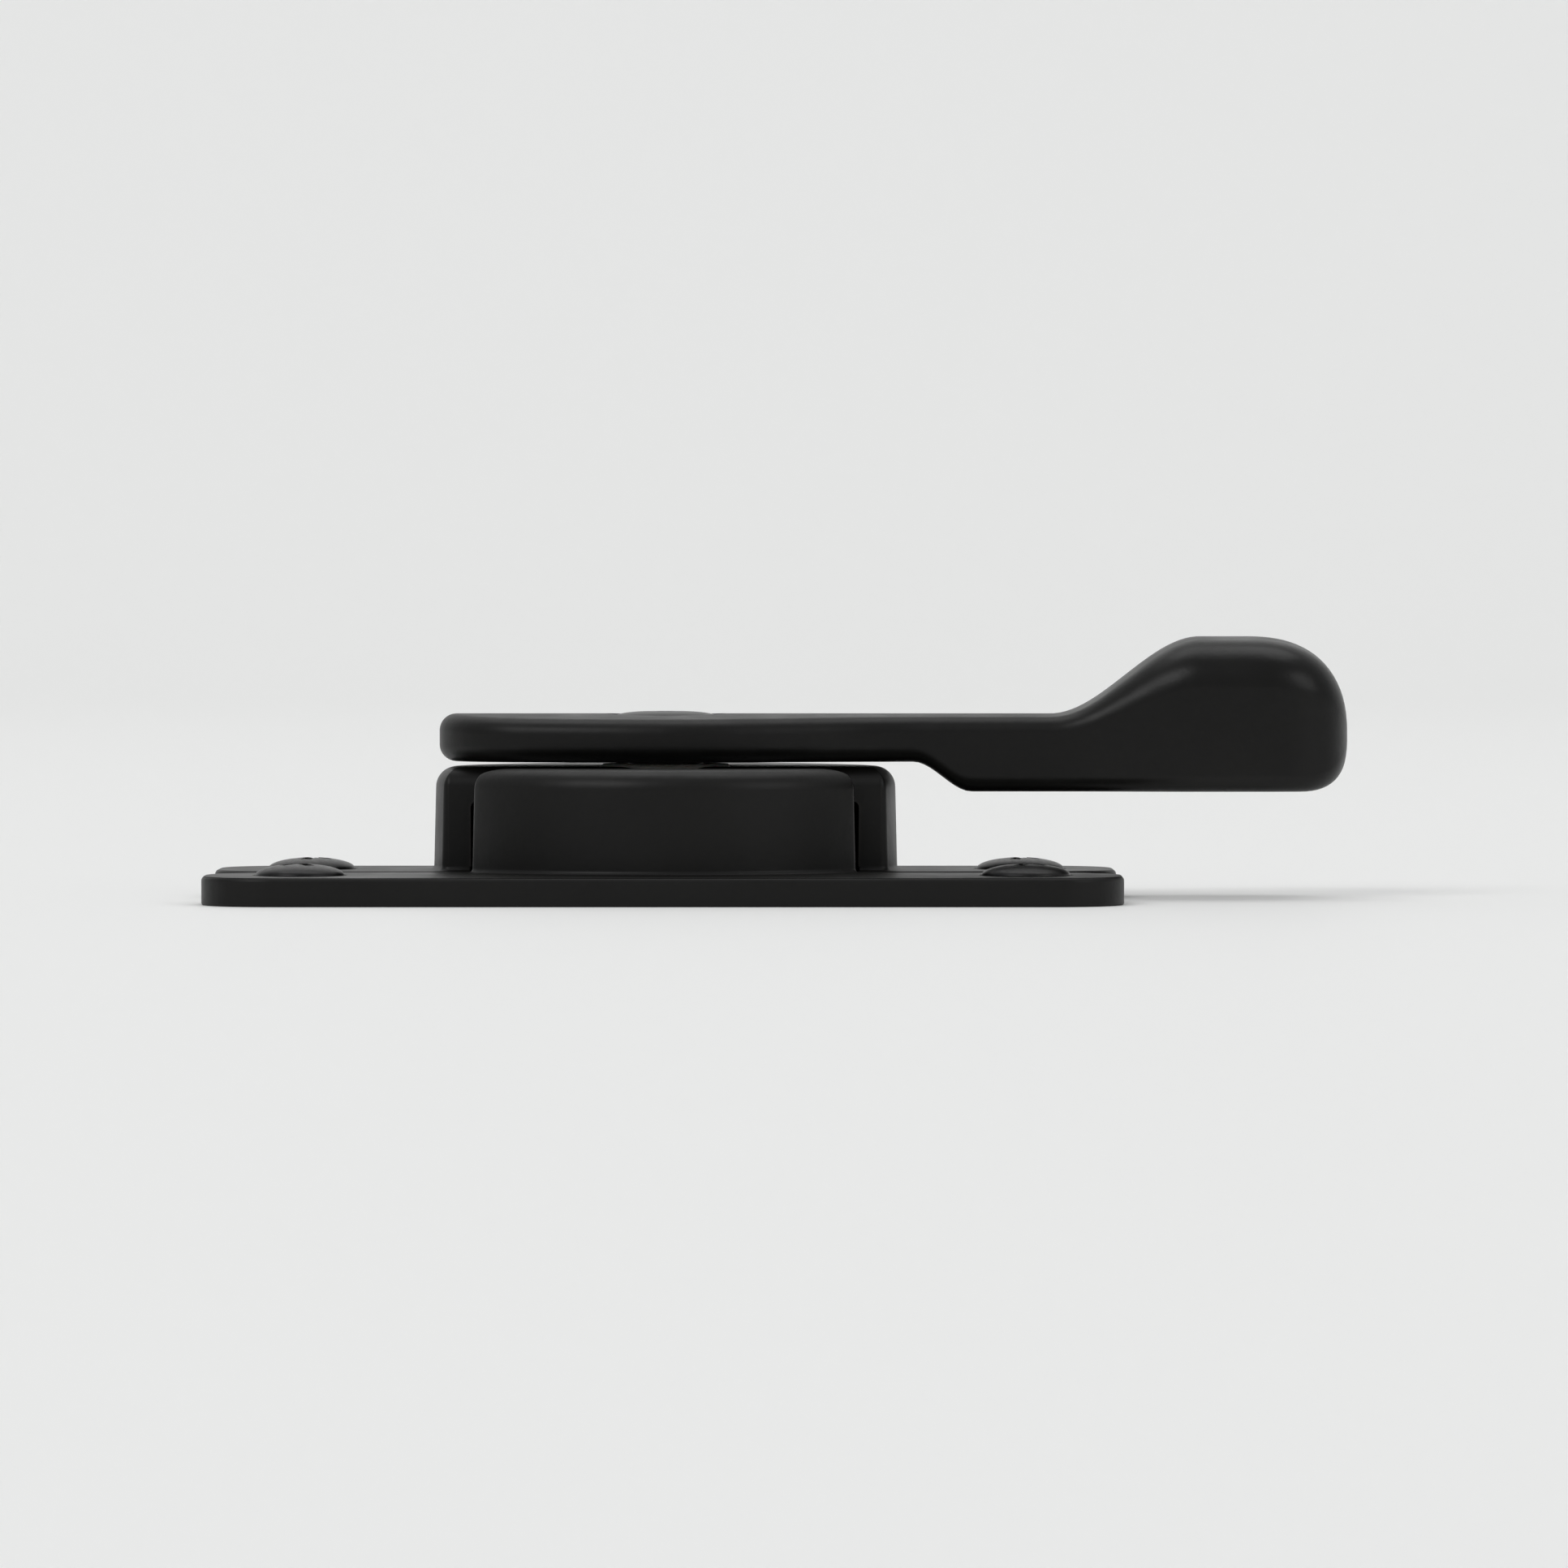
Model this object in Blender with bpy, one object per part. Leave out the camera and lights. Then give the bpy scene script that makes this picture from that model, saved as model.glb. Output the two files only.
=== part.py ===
"""Cam-type window sash lock with its keeper, shown locked.

The lock stands on the rail of the inner sash and the keeper on the rail of the outer
sash. Turning the lever swings a cam under the keeper's lip and draws the rails together.
Units are metres. The origin is on the pivot axis at the mounting plane, +X runs along
the rails towards the lever's tip, +Y points indoors and +Z points up.
"""

import math

import bmesh
import bpy

MM = 0.001

# Base flanges, shared by the lock and the keeper
BASE_LENGTH = 70.0 * MM
FLANGE_THICKNESS = 2.2 * MM
FLANGE_EDGE = 0.5 * MM
FLANGE_LIP = 0.8 * MM
EAR_CORNER = 5.5 * MM
LOCK_EAR_WIDTH = 15.0 * MM
KEEPER_EAR_WIDTH = 14.0 * MM
SCREW_INSET = 7.4 * MM

# The round turret, split between lock and keeper by the gap between the sashes
TURRET_RADIUS = 18.0 * MM
TURRET_HEIGHT = 10.2 * MM
TURRET_EDGE = 1.2 * MM
SHELL_WALL = 2.0 * MM
CEILING = 2.6 * MM
CEILING_ROOT = 0.8 * MM
SASH_GAP = 2.2 * MM

# Countersunk wood screws with raised heads
SCREW_HEAD_RADIUS = 3.4 * MM
SCREW_DOME = 0.9 * MM
SCREW_SHANK_RADIUS = 1.75 * MM
SCREW_LENGTH = 19.0 * MM
SCREW_POINT = 4.0 * MM
COUNTERSINK_ANGLE = math.radians(82)
RECESS_REACH = 1.75 * MM
RECESS_WIDTH = 0.85 * MM
RECESS_DEPTH = 1.8 * MM

# Lever
LEVER_REACH = 53.0 * MM
LEVER_TOP = 14.3 * MM
LEVER_CROWN = 0.35 * MM
LEVER_EDGE = 1.3 * MM
LEVER_WALL = 2.2 * MM
HUB_HALF_WIDTH = 9.5 * MM
TAIL_HALF_WIDTH = 7.2 * MM
TAIL_SETBACK = 0.4 * MM
ARM_HALF_WIDTH = 5.2 * MM
ARM_DROP = 2.3 * MM
ARM_RAMP = 4.5 * MM
TIP_HALF_WIDTH = 6.6 * MM
TIP_EDGE = 3.8 * MM
TIP_LENGTH = 23.0 * MM
TIP_RISE = 6.0 * MM
TIP_ROUND = 8.0 * MM
TIP_NOSE = 4.0 * MM
NOSE_FULLNESS = 2.5

# Spindle and bush
HEAD_RADIUS = 4.3 * MM
HEAD_THICKNESS = 0.9 * MM
UPPER_SQUARE = 6.2 * MM
JOURNAL_RADIUS = 2.9 * MM
LOWER_SQUARE = 4.0 * MM
STUB_RADIUS = 1.8 * MM
GROOVE_RADIUS = 1.3 * MM
STUB_END = 0.3 * MM
BUSH_WALL = 1.15 * MM
BUSH_FLANGE_RADIUS = 5.0 * MM
BUSH_FLANGE = 0.8 * MM

# Cam
CAM_HALF_ANGLE = math.radians(37)
CAM_BOTTOM = 1.5 * MM
CAM_PLATE = 1.7 * MM
RIM_THICKNESS = 3.6 * MM
RIM_TAPER = 1.2 * MM
HUB_RADIUS = 5.6 * MM
HUB_FLAT = 0.7 * MM
HUB_FOOT = 0.2 * MM
LIP_BACKSET = 0.4 * MM
LIP_DEPTH = 1.8 * MM

# Washers and clip under the cam
WASHER_RADIUS = 4.2 * MM
WASHER_THICKNESS = 0.4 * MM
WAVE_SHEET = 0.25 * MM
WAVE_HEIGHT = 0.2 * MM
WAVE_COUNT = 3
CLIP_RADIUS = 3.6 * MM
CLIP_THICKNESS = 0.45 * MM
CLIP_OPENING = math.radians(50)

# Detent spring, its two posts and the turning stops
SPRING_ANGLE = math.radians(135)
SPRING_THICKNESS = 0.4 * MM
SPRING_WIDTH = 1.8 * MM
SPRING_HALF_LENGTH = 9.0 * MM
POST_LENGTH = 1.6 * MM
POST_WALL = 0.8 * MM
TURN_RANGE = math.radians(180)
STOP_TAB_HALF_ANGLE = math.radians(14)
STOP_TAB_REACH = 2.1 * MM
STOP_TAB_HEIGHT = 1.5 * MM
STOP_PIN_RADIUS = 1.1 * MM

# Clearances
SEAT_GAP = 0.2 * MM
RUN_GAP = 0.15 * MM
SWING_GAP = 0.4 * MM
SCREW_GAP = 0.25 * MM
ARM_CLEARANCE = 1.2 * MM
OVERSHOOT = 2.0 * MM

# Places that follow from the sizes above
CAVITY_RADIUS = TURRET_RADIUS - SHELL_WALL
CAVITY_TOP = TURRET_HEIGHT - CEILING
CAM_RADIUS = CAVITY_RADIUS - SWING_GAP
CAM_TOP = CAVITY_TOP - SWING_GAP
PLATE_TOP = CAM_BOTTOM + CAM_PLATE
RIM_INNER = CAM_RADIUS - RIM_THICKNESS
LIP_RADIUS = RIM_INNER - 1.5 * SEAT_GAP
LIP_BOTTOM = PLATE_TOP + SWING_GAP
KEEPER_EDGE = LIP_RADIUS - LIP_DEPTH - LIP_BACKSET - FLANGE_LIP
LOCK_SETBACK = KEEPER_EDGE - SASH_GAP
LOCK_EAR_Y = LOCK_EAR_WIDTH / 2 - LOCK_SETBACK
KEEPER_EAR_Y = -KEEPER_EDGE - KEEPER_EAR_WIDTH / 2
SCREW_X = BASE_LENGTH / 2 - SCREW_INSET
BUSH_RADIUS = JOURNAL_RADIUS + RUN_GAP + BUSH_WALL
BUSH_SEAT = TURRET_HEIGHT - BUSH_FLANGE
BUSH_TOP = TURRET_HEIGHT + SEAT_GAP
LEVER_BOTTOM = BUSH_TOP + SEAT_GAP
LEVER_TAIL = TAIL_SETBACK - TURRET_RADIUS
ARM_START = TURRET_RADIUS + ARM_CLEARANCE
TIP_START = LEVER_REACH - TIP_LENGTH
HEAD_BOTTOM = LEVER_TOP - HEAD_THICKNESS
COUNTERBORE_FLOOR = HEAD_BOTTOM - SEAT_GAP
FLAT_DISTANCE = HUB_RADIUS - HUB_FLAT
SPRING_BOTTOM = LIP_BOTTOM
SPRING_TOP = SPRING_BOTTOM + SPRING_WIDTH
STACK_TOP = CAM_BOTTOM + CAM_PLATE - 2 * SEAT_GAP
WAVE_MIDDLE = STACK_TOP - SEAT_GAP - WAVE_HEIGHT - WAVE_SHEET / 2
WASHER_TOP = WAVE_MIDDLE - WAVE_HEIGHT - WAVE_SHEET / 2 - RUN_GAP
CLIP_TOP = WASHER_TOP - WASHER_THICKNESS - SEAT_GAP


def clear_scene():
    for obj in list(bpy.data.objects):
        bpy.data.objects.remove(obj, do_unlink=True)


def make_material(name, colour, roughness, metallic):
    material = bpy.data.materials.new(name)
    material.use_nodes = True
    shader = material.node_tree.nodes["Principled BSDF"]
    shader.inputs["Base Color"].default_value = (*colour, 1.0)
    shader.inputs["Roughness"].default_value = roughness
    shader.inputs["Metallic"].default_value = metallic
    return material


def make_object(name, bm, material=None):
    """Turns a bmesh into an object with outward faces; one with no material is a helper."""
    bmesh.ops.recalc_face_normals(bm, faces=bm.faces)
    mesh = bpy.data.meshes.new(name)
    bm.to_mesh(mesh)
    bm.free()
    obj = bpy.data.objects.new(name, mesh)
    bpy.context.scene.collection.objects.link(obj)
    if material is None:
        obj.hide_render = True
        obj.display_type = 'WIRE'
    else:
        mesh.materials.append(material)
        mesh.shade_smooth()
        mesh.set_sharp_from_angle(angle=math.radians(35))
    return obj


def combine(target, helper, operation):
    modifier = target.modifiers.new(helper.name, 'BOOLEAN')
    modifier.operation = operation
    modifier.object = helper
    modifier.solver = 'EXACT'


def arc(radius, start, end, steps, centre=(0.0, 0.0)):
    turns = [start + (end - start) * i / steps for i in range(steps + 1)]
    return [
        (centre[0] + radius * math.cos(a), centre[1] + radius * math.sin(a))
        for a in turns
    ]


def prism(outline, low, high, top_edge=0.0):
    """A flat outline raised from low to high, with its upper edge rounded."""
    bm = bmesh.new()
    bottom = [bm.verts.new((x, y, low)) for x, y in outline]
    face = bm.faces.new(bottom)
    raised = bmesh.ops.extrude_face_region(bm, geom=[face])["geom"]
    top = [part for part in raised if isinstance(part, bmesh.types.BMVert)]
    bmesh.ops.translate(bm, verts=top, vec=(0, 0, high - low))
    if top_edge:
        edges = [e for e in bm.edges if all(v.co.z > (low + high) / 2 for v in e.verts)]
        bmesh.ops.bevel(
            bm, geom=edges, offset=top_edge, segments=3, profile=0.5, affect='EDGES'
        )
    return bm


def loft(rings, closed=False):
    """Rings of equal length joined in order, with capped ends or closed on itself."""
    bm = bmesh.new()
    loops = [[bm.verts.new(point) for point in ring] for ring in rings]
    count = len(loops[0])
    pairs = list(zip(loops, loops[1:]))
    if closed:
        pairs.append((loops[-1], loops[0]))
    else:
        bm.faces.new(loops[0])
        bm.faces.new(loops[-1])
    for first, second in pairs:
        for i in range(count):
            j = (i + 1) % count
            bm.faces.new((first[i], first[j], second[j], second[i]))
    return bm


def circle_ring(radius, z, segments):
    turns = [2 * math.pi * i / segments for i in range(segments)]
    return [(radius * math.cos(a), radius * math.sin(a), z) for a in turns]


def square_ring(width, z, segments):
    ring = []
    for i in range(segments):
        a = 2 * math.pi * i / segments
        reach = width / 2 / max(abs(math.cos(a)), abs(math.sin(a)))
        ring.append((reach * math.cos(a), reach * math.sin(a), z))
    return ring


def turned(profile, segments, closed=False):
    return loft([circle_ring(r, z, segments) for r, z in profile], closed)


def cylinder_helper(name, radius, low, high, segments=40):
    return make_object(name, turned([(radius, low), (radius, high)], segments))


def rounded_rectangle(half_x, y_low, y_high, corner):
    low, high = y_low + corner, y_high - corner
    x = half_x - corner
    quarter = math.pi / 2
    outline = []
    for i, centre in enumerate(((x, high), (-x, high), (-x, low), (x, low))):
        outline += arc(corner, i * quarter, (i + 1) * quarter, 6, centre)
    return outline


def screw_hole(name, x, y):
    """A countersunk hole that follows the screw's head and shank with a clearance."""
    slope = math.tan(COUNTERSINK_ANGLE / 2)
    head = SCREW_HEAD_RADIUS + SCREW_GAP
    shank = SCREW_SHANK_RADIUS + SCREW_GAP
    cone_low = FLANGE_THICKNESS - (head - shank) / slope
    rim = head + OVERSHOOT * slope
    profile = [
        (rim, FLANGE_THICKNESS + OVERSHOOT),
        (shank, cone_low),
        (shank, -OVERSHOOT),
    ]
    hole = make_object(name, turned(profile, 28))
    hole.location = (x, y, 0)
    return hole


def cut_screw_holes(target, y):
    for side, x in (("left", -SCREW_X), ("right", SCREW_X)):
        combine(target, screw_hole(f"{target.name}_hole_{side}", x, y), 'DIFFERENCE')


def spring_point(outward, along):
    """A point given outward from the pivot to the spring and along the spring."""
    c, s = math.cos(SPRING_ANGLE), math.sin(SPRING_ANGLE)
    return (outward * c - along * s, outward * s + along * c)


def spring_block(outward, along, low, high):
    corners = (
        (outward[0], along[0]),
        (outward[1], along[0]),
        (outward[1], along[1]),
        (outward[0], along[1]),
    )
    return prism([spring_point(*corner) for corner in corners], low, high)


def add_spring_posts(housing):
    """Two forked posts under the ceiling that hold the ends of the detent spring."""
    inner = FLAT_DISTANCE + RUN_GAP - SEAT_GAP
    outer = FLAT_DISTANCE + RUN_GAP + SPRING_THICKNESS + SEAT_GAP
    for side, sign in (("a", 1), ("b", -1)):
        end = sign * (SPRING_HALF_LENGTH - SEAT_GAP)
        start = end - sign * POST_LENGTH
        along = (min(start, end), max(start, end))
        post = spring_block(
            (inner - POST_WALL, outer + POST_WALL),
            along,
            SPRING_BOTTOM,
            CAVITY_TOP + CEILING_ROOT,
        )
        slot = spring_block(
            (inner, outer),
            (along[0] - POST_LENGTH, along[1] + POST_LENGTH),
            SPRING_BOTTOM - OVERSHOOT,
            SPRING_TOP + SEAT_GAP,
        )
        post = make_object(f"spring_post_{side}", post)
        combine(post, make_object(f"spring_slot_{side}", slot), 'DIFFERENCE')
        combine(housing, post, 'UNION')


def add_turn_stops(housing):
    """Two pins under the ceiling that stop the cam's tab at each end of the turn."""
    place = HUB_RADIUS + 2 * RUN_GAP + STOP_PIN_RADIUS
    half_pin = math.asin((STOP_PIN_RADIUS + 2 * RUN_GAP) / place)
    angle = STOP_TAB_HALF_ANGLE + half_pin
    low = CAM_TOP - SEAT_GAP - STOP_TAB_HEIGHT
    for side, turn in (("locked", -angle), ("open", TURN_RANGE + angle)):
        pin = cylinder_helper(
            f"stop_pin_{side}", STOP_PIN_RADIUS, low, CAVITY_TOP + CEILING_ROOT, 16
        )
        pin.location = (place * math.cos(turn), place * math.sin(turn), 0)
        combine(housing, pin, 'UNION')


def lock_base_outline():
    """The two screw ears with the foot of the turret swelling out indoors."""
    foot = TURRET_RADIUS + FLANGE_LIP
    back = LOCK_EAR_WIDTH - LOCK_SETBACK
    meet = math.asin(back / foot)
    ears = rounded_rectangle(BASE_LENGTH / 2, -LOCK_SETBACK, back, EAR_CORNER)
    quarter = len(ears) // 4
    swell = arc(foot, meet, math.pi - meet, 28)
    return ears[:quarter] + swell + ears[quarter:]


def turret_outline(radius, face, indoors):
    """Part of a circle on one side of a straight face parallel to the rails."""
    dip = math.asin(face / radius)
    if indoors:
        return arc(radius, dip, math.pi - dip, 44)
    return arc(radius, math.pi - dip, 2 * math.pi + dip, 30)


def make_housing(material):
    base = prism(lock_base_outline(), 0, FLANGE_THICKNESS, FLANGE_EDGE)
    housing = make_object("lock_housing", base, material)
    face = FLANGE_LIP - LOCK_SETBACK
    shell = prism(
        turret_outline(TURRET_RADIUS, face, True),
        FLANGE_THICKNESS / 2,
        TURRET_HEIGHT,
        TURRET_EDGE,
    )
    combine(housing, make_object("housing_turret", shell), 'UNION')
    mouth = -LOCK_SETBACK - OVERSHOOT
    chamber = prism(turret_outline(CAVITY_RADIUS, mouth, True), -OVERSHOOT, CAVITY_TOP)
    combine(housing, make_object("housing_chamber", chamber), 'DIFFERENCE')
    add_spring_posts(housing)
    add_turn_stops(housing)
    bore = turned(
        [
            (BUSH_FLANGE_RADIUS + SEAT_GAP, TURRET_HEIGHT + OVERSHOOT),
            (BUSH_FLANGE_RADIUS + SEAT_GAP, BUSH_SEAT),
            (BUSH_RADIUS + RUN_GAP, BUSH_SEAT),
            (BUSH_RADIUS + RUN_GAP, CAVITY_TOP - OVERSHOOT),
        ],
        40,
    )
    combine(housing, make_object("bush_bore", bore), 'DIFFERENCE')
    cut_screw_holes(housing, LOCK_EAR_Y)


def make_keeper(material):
    outline = rounded_rectangle(
        BASE_LENGTH / 2, -KEEPER_EDGE - KEEPER_EAR_WIDTH, -KEEPER_EDGE, EAR_CORNER
    )
    base = prism(outline, 0, FLANGE_THICKNESS, FLANGE_EDGE)
    keeper = make_object("keeper", base, material)
    face = -KEEPER_EDGE - FLANGE_LIP
    arch = prism(
        turret_outline(TURRET_RADIUS, face, False),
        FLANGE_THICKNESS / 2,
        TURRET_HEIGHT,
        TURRET_EDGE,
    )
    combine(keeper, make_object("keeper_arch", arch), 'UNION')
    pocket = prism(
        turret_outline(CAVITY_RADIUS, OVERSHOOT - KEEPER_EDGE, False),
        -OVERSHOOT,
        CAVITY_TOP,
    )
    combine(keeper, make_object("keeper_pocket", pocket), 'DIFFERENCE')
    lip = prism(
        turret_outline(LIP_RADIUS, face - LIP_BACKSET, False),
        LIP_BOTTOM,
        CAVITY_TOP + CEILING_ROOT,
    )
    combine(keeper, make_object("keeper_lip", lip), 'UNION')
    cut_screw_holes(keeper, KEEPER_EAR_Y)


def make_screws(material):
    """Four screws that share one mesh: raised countersunk head, shank and point."""
    slope = math.tan(COUNTERSINK_ANGLE / 2)
    top = FLANGE_THICKNESS
    cone_low = top - (SCREW_HEAD_RADIUS - SCREW_SHANK_RADIUS) / slope
    tip = top - SCREW_LENGTH
    dome = [
        (SCREW_HEAD_RADIUS * math.cos(a), top + SCREW_DOME * math.sin(a))
        for a in (math.radians(degrees) for degrees in (84, 60, 35, 12, 0))
    ]
    shank = [
        (SCREW_SHANK_RADIUS, cone_low),
        (SCREW_SHANK_RADIUS, tip + SCREW_POINT),
        (SCREW_SHANK_RADIUS / 8, tip),
    ]
    blank = make_object("screw_blank", turned(dome + shank, 20))
    half, reach = RECESS_WIDTH / 2, RECESS_REACH
    arm = [(half, -half), (reach, -half), (reach, half)]
    cross = [
        (x * math.cos(a) - y * math.sin(a), x * math.sin(a) + y * math.cos(a))
        for a in (math.pi / 2 * i for i in range(4))
        for x, y in arm
    ]
    peak = top + SCREW_DOME
    recess = prism(cross, peak - RECESS_DEPTH, peak + OVERSHOOT)
    recess = make_object("screw_recess", recess)
    combine(blank, recess, 'DIFFERENCE')
    graph = bpy.context.evaluated_depsgraph_get()
    mesh = bpy.data.meshes.new_from_object(blank.evaluated_get(graph))
    mesh.name = "wood_screw"
    mesh.materials.clear()
    mesh.materials.append(material)
    for piece, y in (("lock", LOCK_EAR_Y), ("keeper", KEEPER_EAR_Y)):
        for side, x in (("left", -SCREW_X), ("right", SCREW_X)):
            screw = bpy.data.objects.new(f"{piece}_screw_{side}", mesh)
            screw.location = (x, y, 0)
            bpy.context.scene.collection.objects.link(screw)
    for helper in (blank, recess):
        bpy.data.objects.remove(helper, do_unlink=True)


def make_bush(material):
    bore = JOURNAL_RADIUS + RUN_GAP
    low = CAVITY_TOP + RUN_GAP
    seat = BUSH_SEAT + SEAT_GAP
    profile = [
        (bore, BUSH_TOP),
        (bore, low),
        (BUSH_RADIUS, low),
        (BUSH_RADIUS, seat),
        (BUSH_FLANGE_RADIUS, seat),
        (BUSH_FLANGE_RADIUS, BUSH_TOP),
    ]
    make_object("spindle_bush", turned(profile, 40, closed=True), material)


def make_spring(material):
    inner = FLAT_DISTANCE + RUN_GAP
    strip = spring_block(
        (inner, inner + SPRING_THICKNESS),
        (-SPRING_HALF_LENGTH, SPRING_HALF_LENGTH),
        SPRING_BOTTOM + RUN_GAP,
        SPRING_TOP,
    )
    make_object("detent_spring", strip, material)


def ease(x, start, end):
    t = min(max((x - start) / (end - start), 0.0), 1.0)
    return t * t * (3 - 2 * t)


def round_off(x, start, end, fullness=2.0):
    """Falls from 1 at start to 0 at end, along a quarter circle when fullness is 2."""
    t = min(max((x - start) / (end - start), 0.0), 1.0)
    return (1 - t**fullness) ** (1 / fullness)


def lever_half_width(x):
    if x < 0:
        width = HUB_HALF_WIDTH
        width += (TAIL_HALF_WIDTH - HUB_HALF_WIDTH) * ease(-x, 0, -LEVER_TAIL)
        return width * round_off(-x, -LEVER_TAIL - TAIL_HALF_WIDTH, -LEVER_TAIL)
    width = HUB_HALF_WIDTH + (ARM_HALF_WIDTH - HUB_HALF_WIDTH) * ease(x, 0, ARM_START)
    swell = ease(x, TIP_START, TIP_START + TIP_LENGTH / 2)
    width += (TIP_HALF_WIDTH - ARM_HALF_WIDTH) * swell
    return width * round_off(x, LEVER_REACH - TIP_ROUND, LEVER_REACH, NOSE_FULLNESS)


def rounded_height(x, height, nose_length):
    """The height of a face at x, drawn in to a point at the tail and at the nose."""
    tail_point = (LEVER_TOP + LEVER_BOTTOM) / 2
    nose_point = LEVER_BOTTOM - ARM_DROP + TIP_NOSE
    if x < 0:
        keep = round_off(-x, -LEVER_TAIL - LEVER_EDGE, -LEVER_TAIL)
        return tail_point + (height - tail_point) * keep
    keep = round_off(x, LEVER_REACH - nose_length, LEVER_REACH, NOSE_FULLNESS)
    return nose_point + (height - nose_point) * keep


def lever_top(x):
    rise = TIP_RISE * ease(x, TIP_START, TIP_START + TIP_LENGTH / 2)
    return rounded_height(x, LEVER_TOP + rise, TIP_ROUND)


def lever_bottom(x):
    drop = ARM_DROP * ease(x, ARM_START, ARM_START + ARM_RAMP)
    return rounded_height(x, LEVER_BOTTOM - drop, TIP_NOSE)


def lever_section(x, half_width):
    """A ring across the lever at x: crowned top with soft corners, flat underside."""
    low, high = lever_bottom(x), lever_top(x)
    swell = ease(x, TIP_START, TIP_START + TIP_LENGTH / 2)
    upper = LEVER_EDGE + (TIP_EDGE - LEVER_EDGE) * swell
    upper = min(upper, 0.5 * (high - low), 0.9 * half_width)
    lower = min(LEVER_EDGE, 0.4 * (high - low), 0.9 * half_width)
    crown = LEVER_CROWN * half_width / HUB_HALF_WIDTH
    quarter = math.pi / 2
    y, z = half_width - upper, high - crown - upper
    outline = arc(upper, 0, quarter, 3, (y, z)) + [(0, high)]
    outline += arc(upper, quarter, 2 * quarter, 3, (-y, z))
    y, z = half_width - lower, low + lower
    outline += arc(lower, 2 * quarter, 3 * quarter, 3, (-y, z)) + [(0, low)]
    outline += arc(lower, 3 * quarter, 4 * quarter, 3, (y, z))
    return [(x, across, height) for across, height in outline]


def lever_stations():
    """Places along the lever, closer together at its rounded ends."""
    tail_round, steps = LEVER_TAIL + TAIL_HALF_WIDTH, 8
    nose_round = LEVER_REACH - TIP_ROUND
    turns = [math.pi / 2 * (i + 0.35) / steps for i in range(steps)]
    tail = [tail_round - TAIL_HALF_WIDTH * math.cos(a) for a in turns]
    nose = [nose_round + TIP_ROUND * math.cos(a) for a in reversed(turns)]
    middle = [tail_round + (nose_round - tail_round) * i / 26 for i in range(27)]
    return tail + middle + nose


def make_lever(material):
    rings = [lever_section(x, lever_half_width(x)) for x in lever_stations()]
    lever = make_object("lever", loft(rings), material)
    start, end = ARM_START + 2 * LEVER_WALL, LEVER_REACH - TIP_ROUND
    core = []
    for i in range(13):
        x = start + (end - start) * i / 12
        y = lever_half_width(x) - LEVER_WALL
        low, high = lever_bottom(x) - OVERSHOOT, lever_top(x) - LEVER_WALL
        core.append([(x, y, low), (x, y, high), (x, -y, high), (x, -y, low)])
    combine(lever, make_object("lever_core", loft(core)), 'DIFFERENCE')
    counterbore = cylinder_helper(
        "lever_counterbore", HEAD_RADIUS + SEAT_GAP, COUNTERBORE_FLOOR, LEVER_TOP + OVERSHOOT
    )
    combine(lever, counterbore, 'DIFFERENCE')
    half = UPPER_SQUARE / 2 + RUN_GAP
    socket = [(half, half), (-half, half), (-half, -half), (half, -half)]
    socket = prism(socket, LEVER_BOTTOM - OVERSHOOT, COUNTERBORE_FLOOR + HEAD_THICKNESS / 2)
    combine(lever, make_object("lever_socket", socket), 'DIFFERENCE')
    return lever


def make_spindle(material):
    """A headed spindle: square for the lever, journal, square for the cam, clip stub."""
    shoulder = LEVER_BOTTOM - SEAT_GAP / 2
    square_end = STACK_TOP - RUN_GAP
    groove_top = CLIP_TOP + RUN_GAP
    groove_low = CLIP_TOP - CLIP_THICKNESS - RUN_GAP
    count = 32
    rings = [
        circle_ring(0.4 * HEAD_RADIUS, LEVER_TOP + LEVER_CROWN / 2, count),
        circle_ring(0.85 * HEAD_RADIUS, LEVER_TOP, count),
        circle_ring(HEAD_RADIUS, LEVER_TOP - HEAD_THICKNESS / 3, count),
        circle_ring(HEAD_RADIUS, HEAD_BOTTOM, count),
        square_ring(UPPER_SQUARE, HEAD_BOTTOM, count),
        square_ring(UPPER_SQUARE, shoulder, count),
        circle_ring(JOURNAL_RADIUS, shoulder, count),
        circle_ring(JOURNAL_RADIUS, CAM_TOP + RUN_GAP, count),
        square_ring(LOWER_SQUARE, CAM_TOP + RUN_GAP, count),
        square_ring(LOWER_SQUARE, square_end, count),
        circle_ring(STUB_RADIUS, square_end, count),
        circle_ring(STUB_RADIUS, groove_top, count),
        circle_ring(GROOVE_RADIUS, groove_top, count),
        circle_ring(GROOVE_RADIUS, groove_low, count),
        circle_ring(STUB_RADIUS, groove_low, count),
        circle_ring(STUB_RADIUS, STUB_END, count),
    ]
    return make_object("spindle", loft(rings), material)


def cam_sector(inner_start, inner_end, low, high):
    """A sector under the keeper's lip whose inner face spirals between two radii."""
    start, steps = -math.pi / 2 - CAM_HALF_ANGLE, 18
    outline = arc(CAM_RADIUS, start, start + 2 * CAM_HALF_ANGLE, steps)
    for i in range(steps, -1, -1):
        turn = start + 2 * CAM_HALF_ANGLE * i / steps
        radius = inner_start + (inner_end - inner_start) * i / steps
        outline.append((radius * math.cos(turn), radius * math.sin(turn)))
    return prism(outline, low, high)


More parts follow.
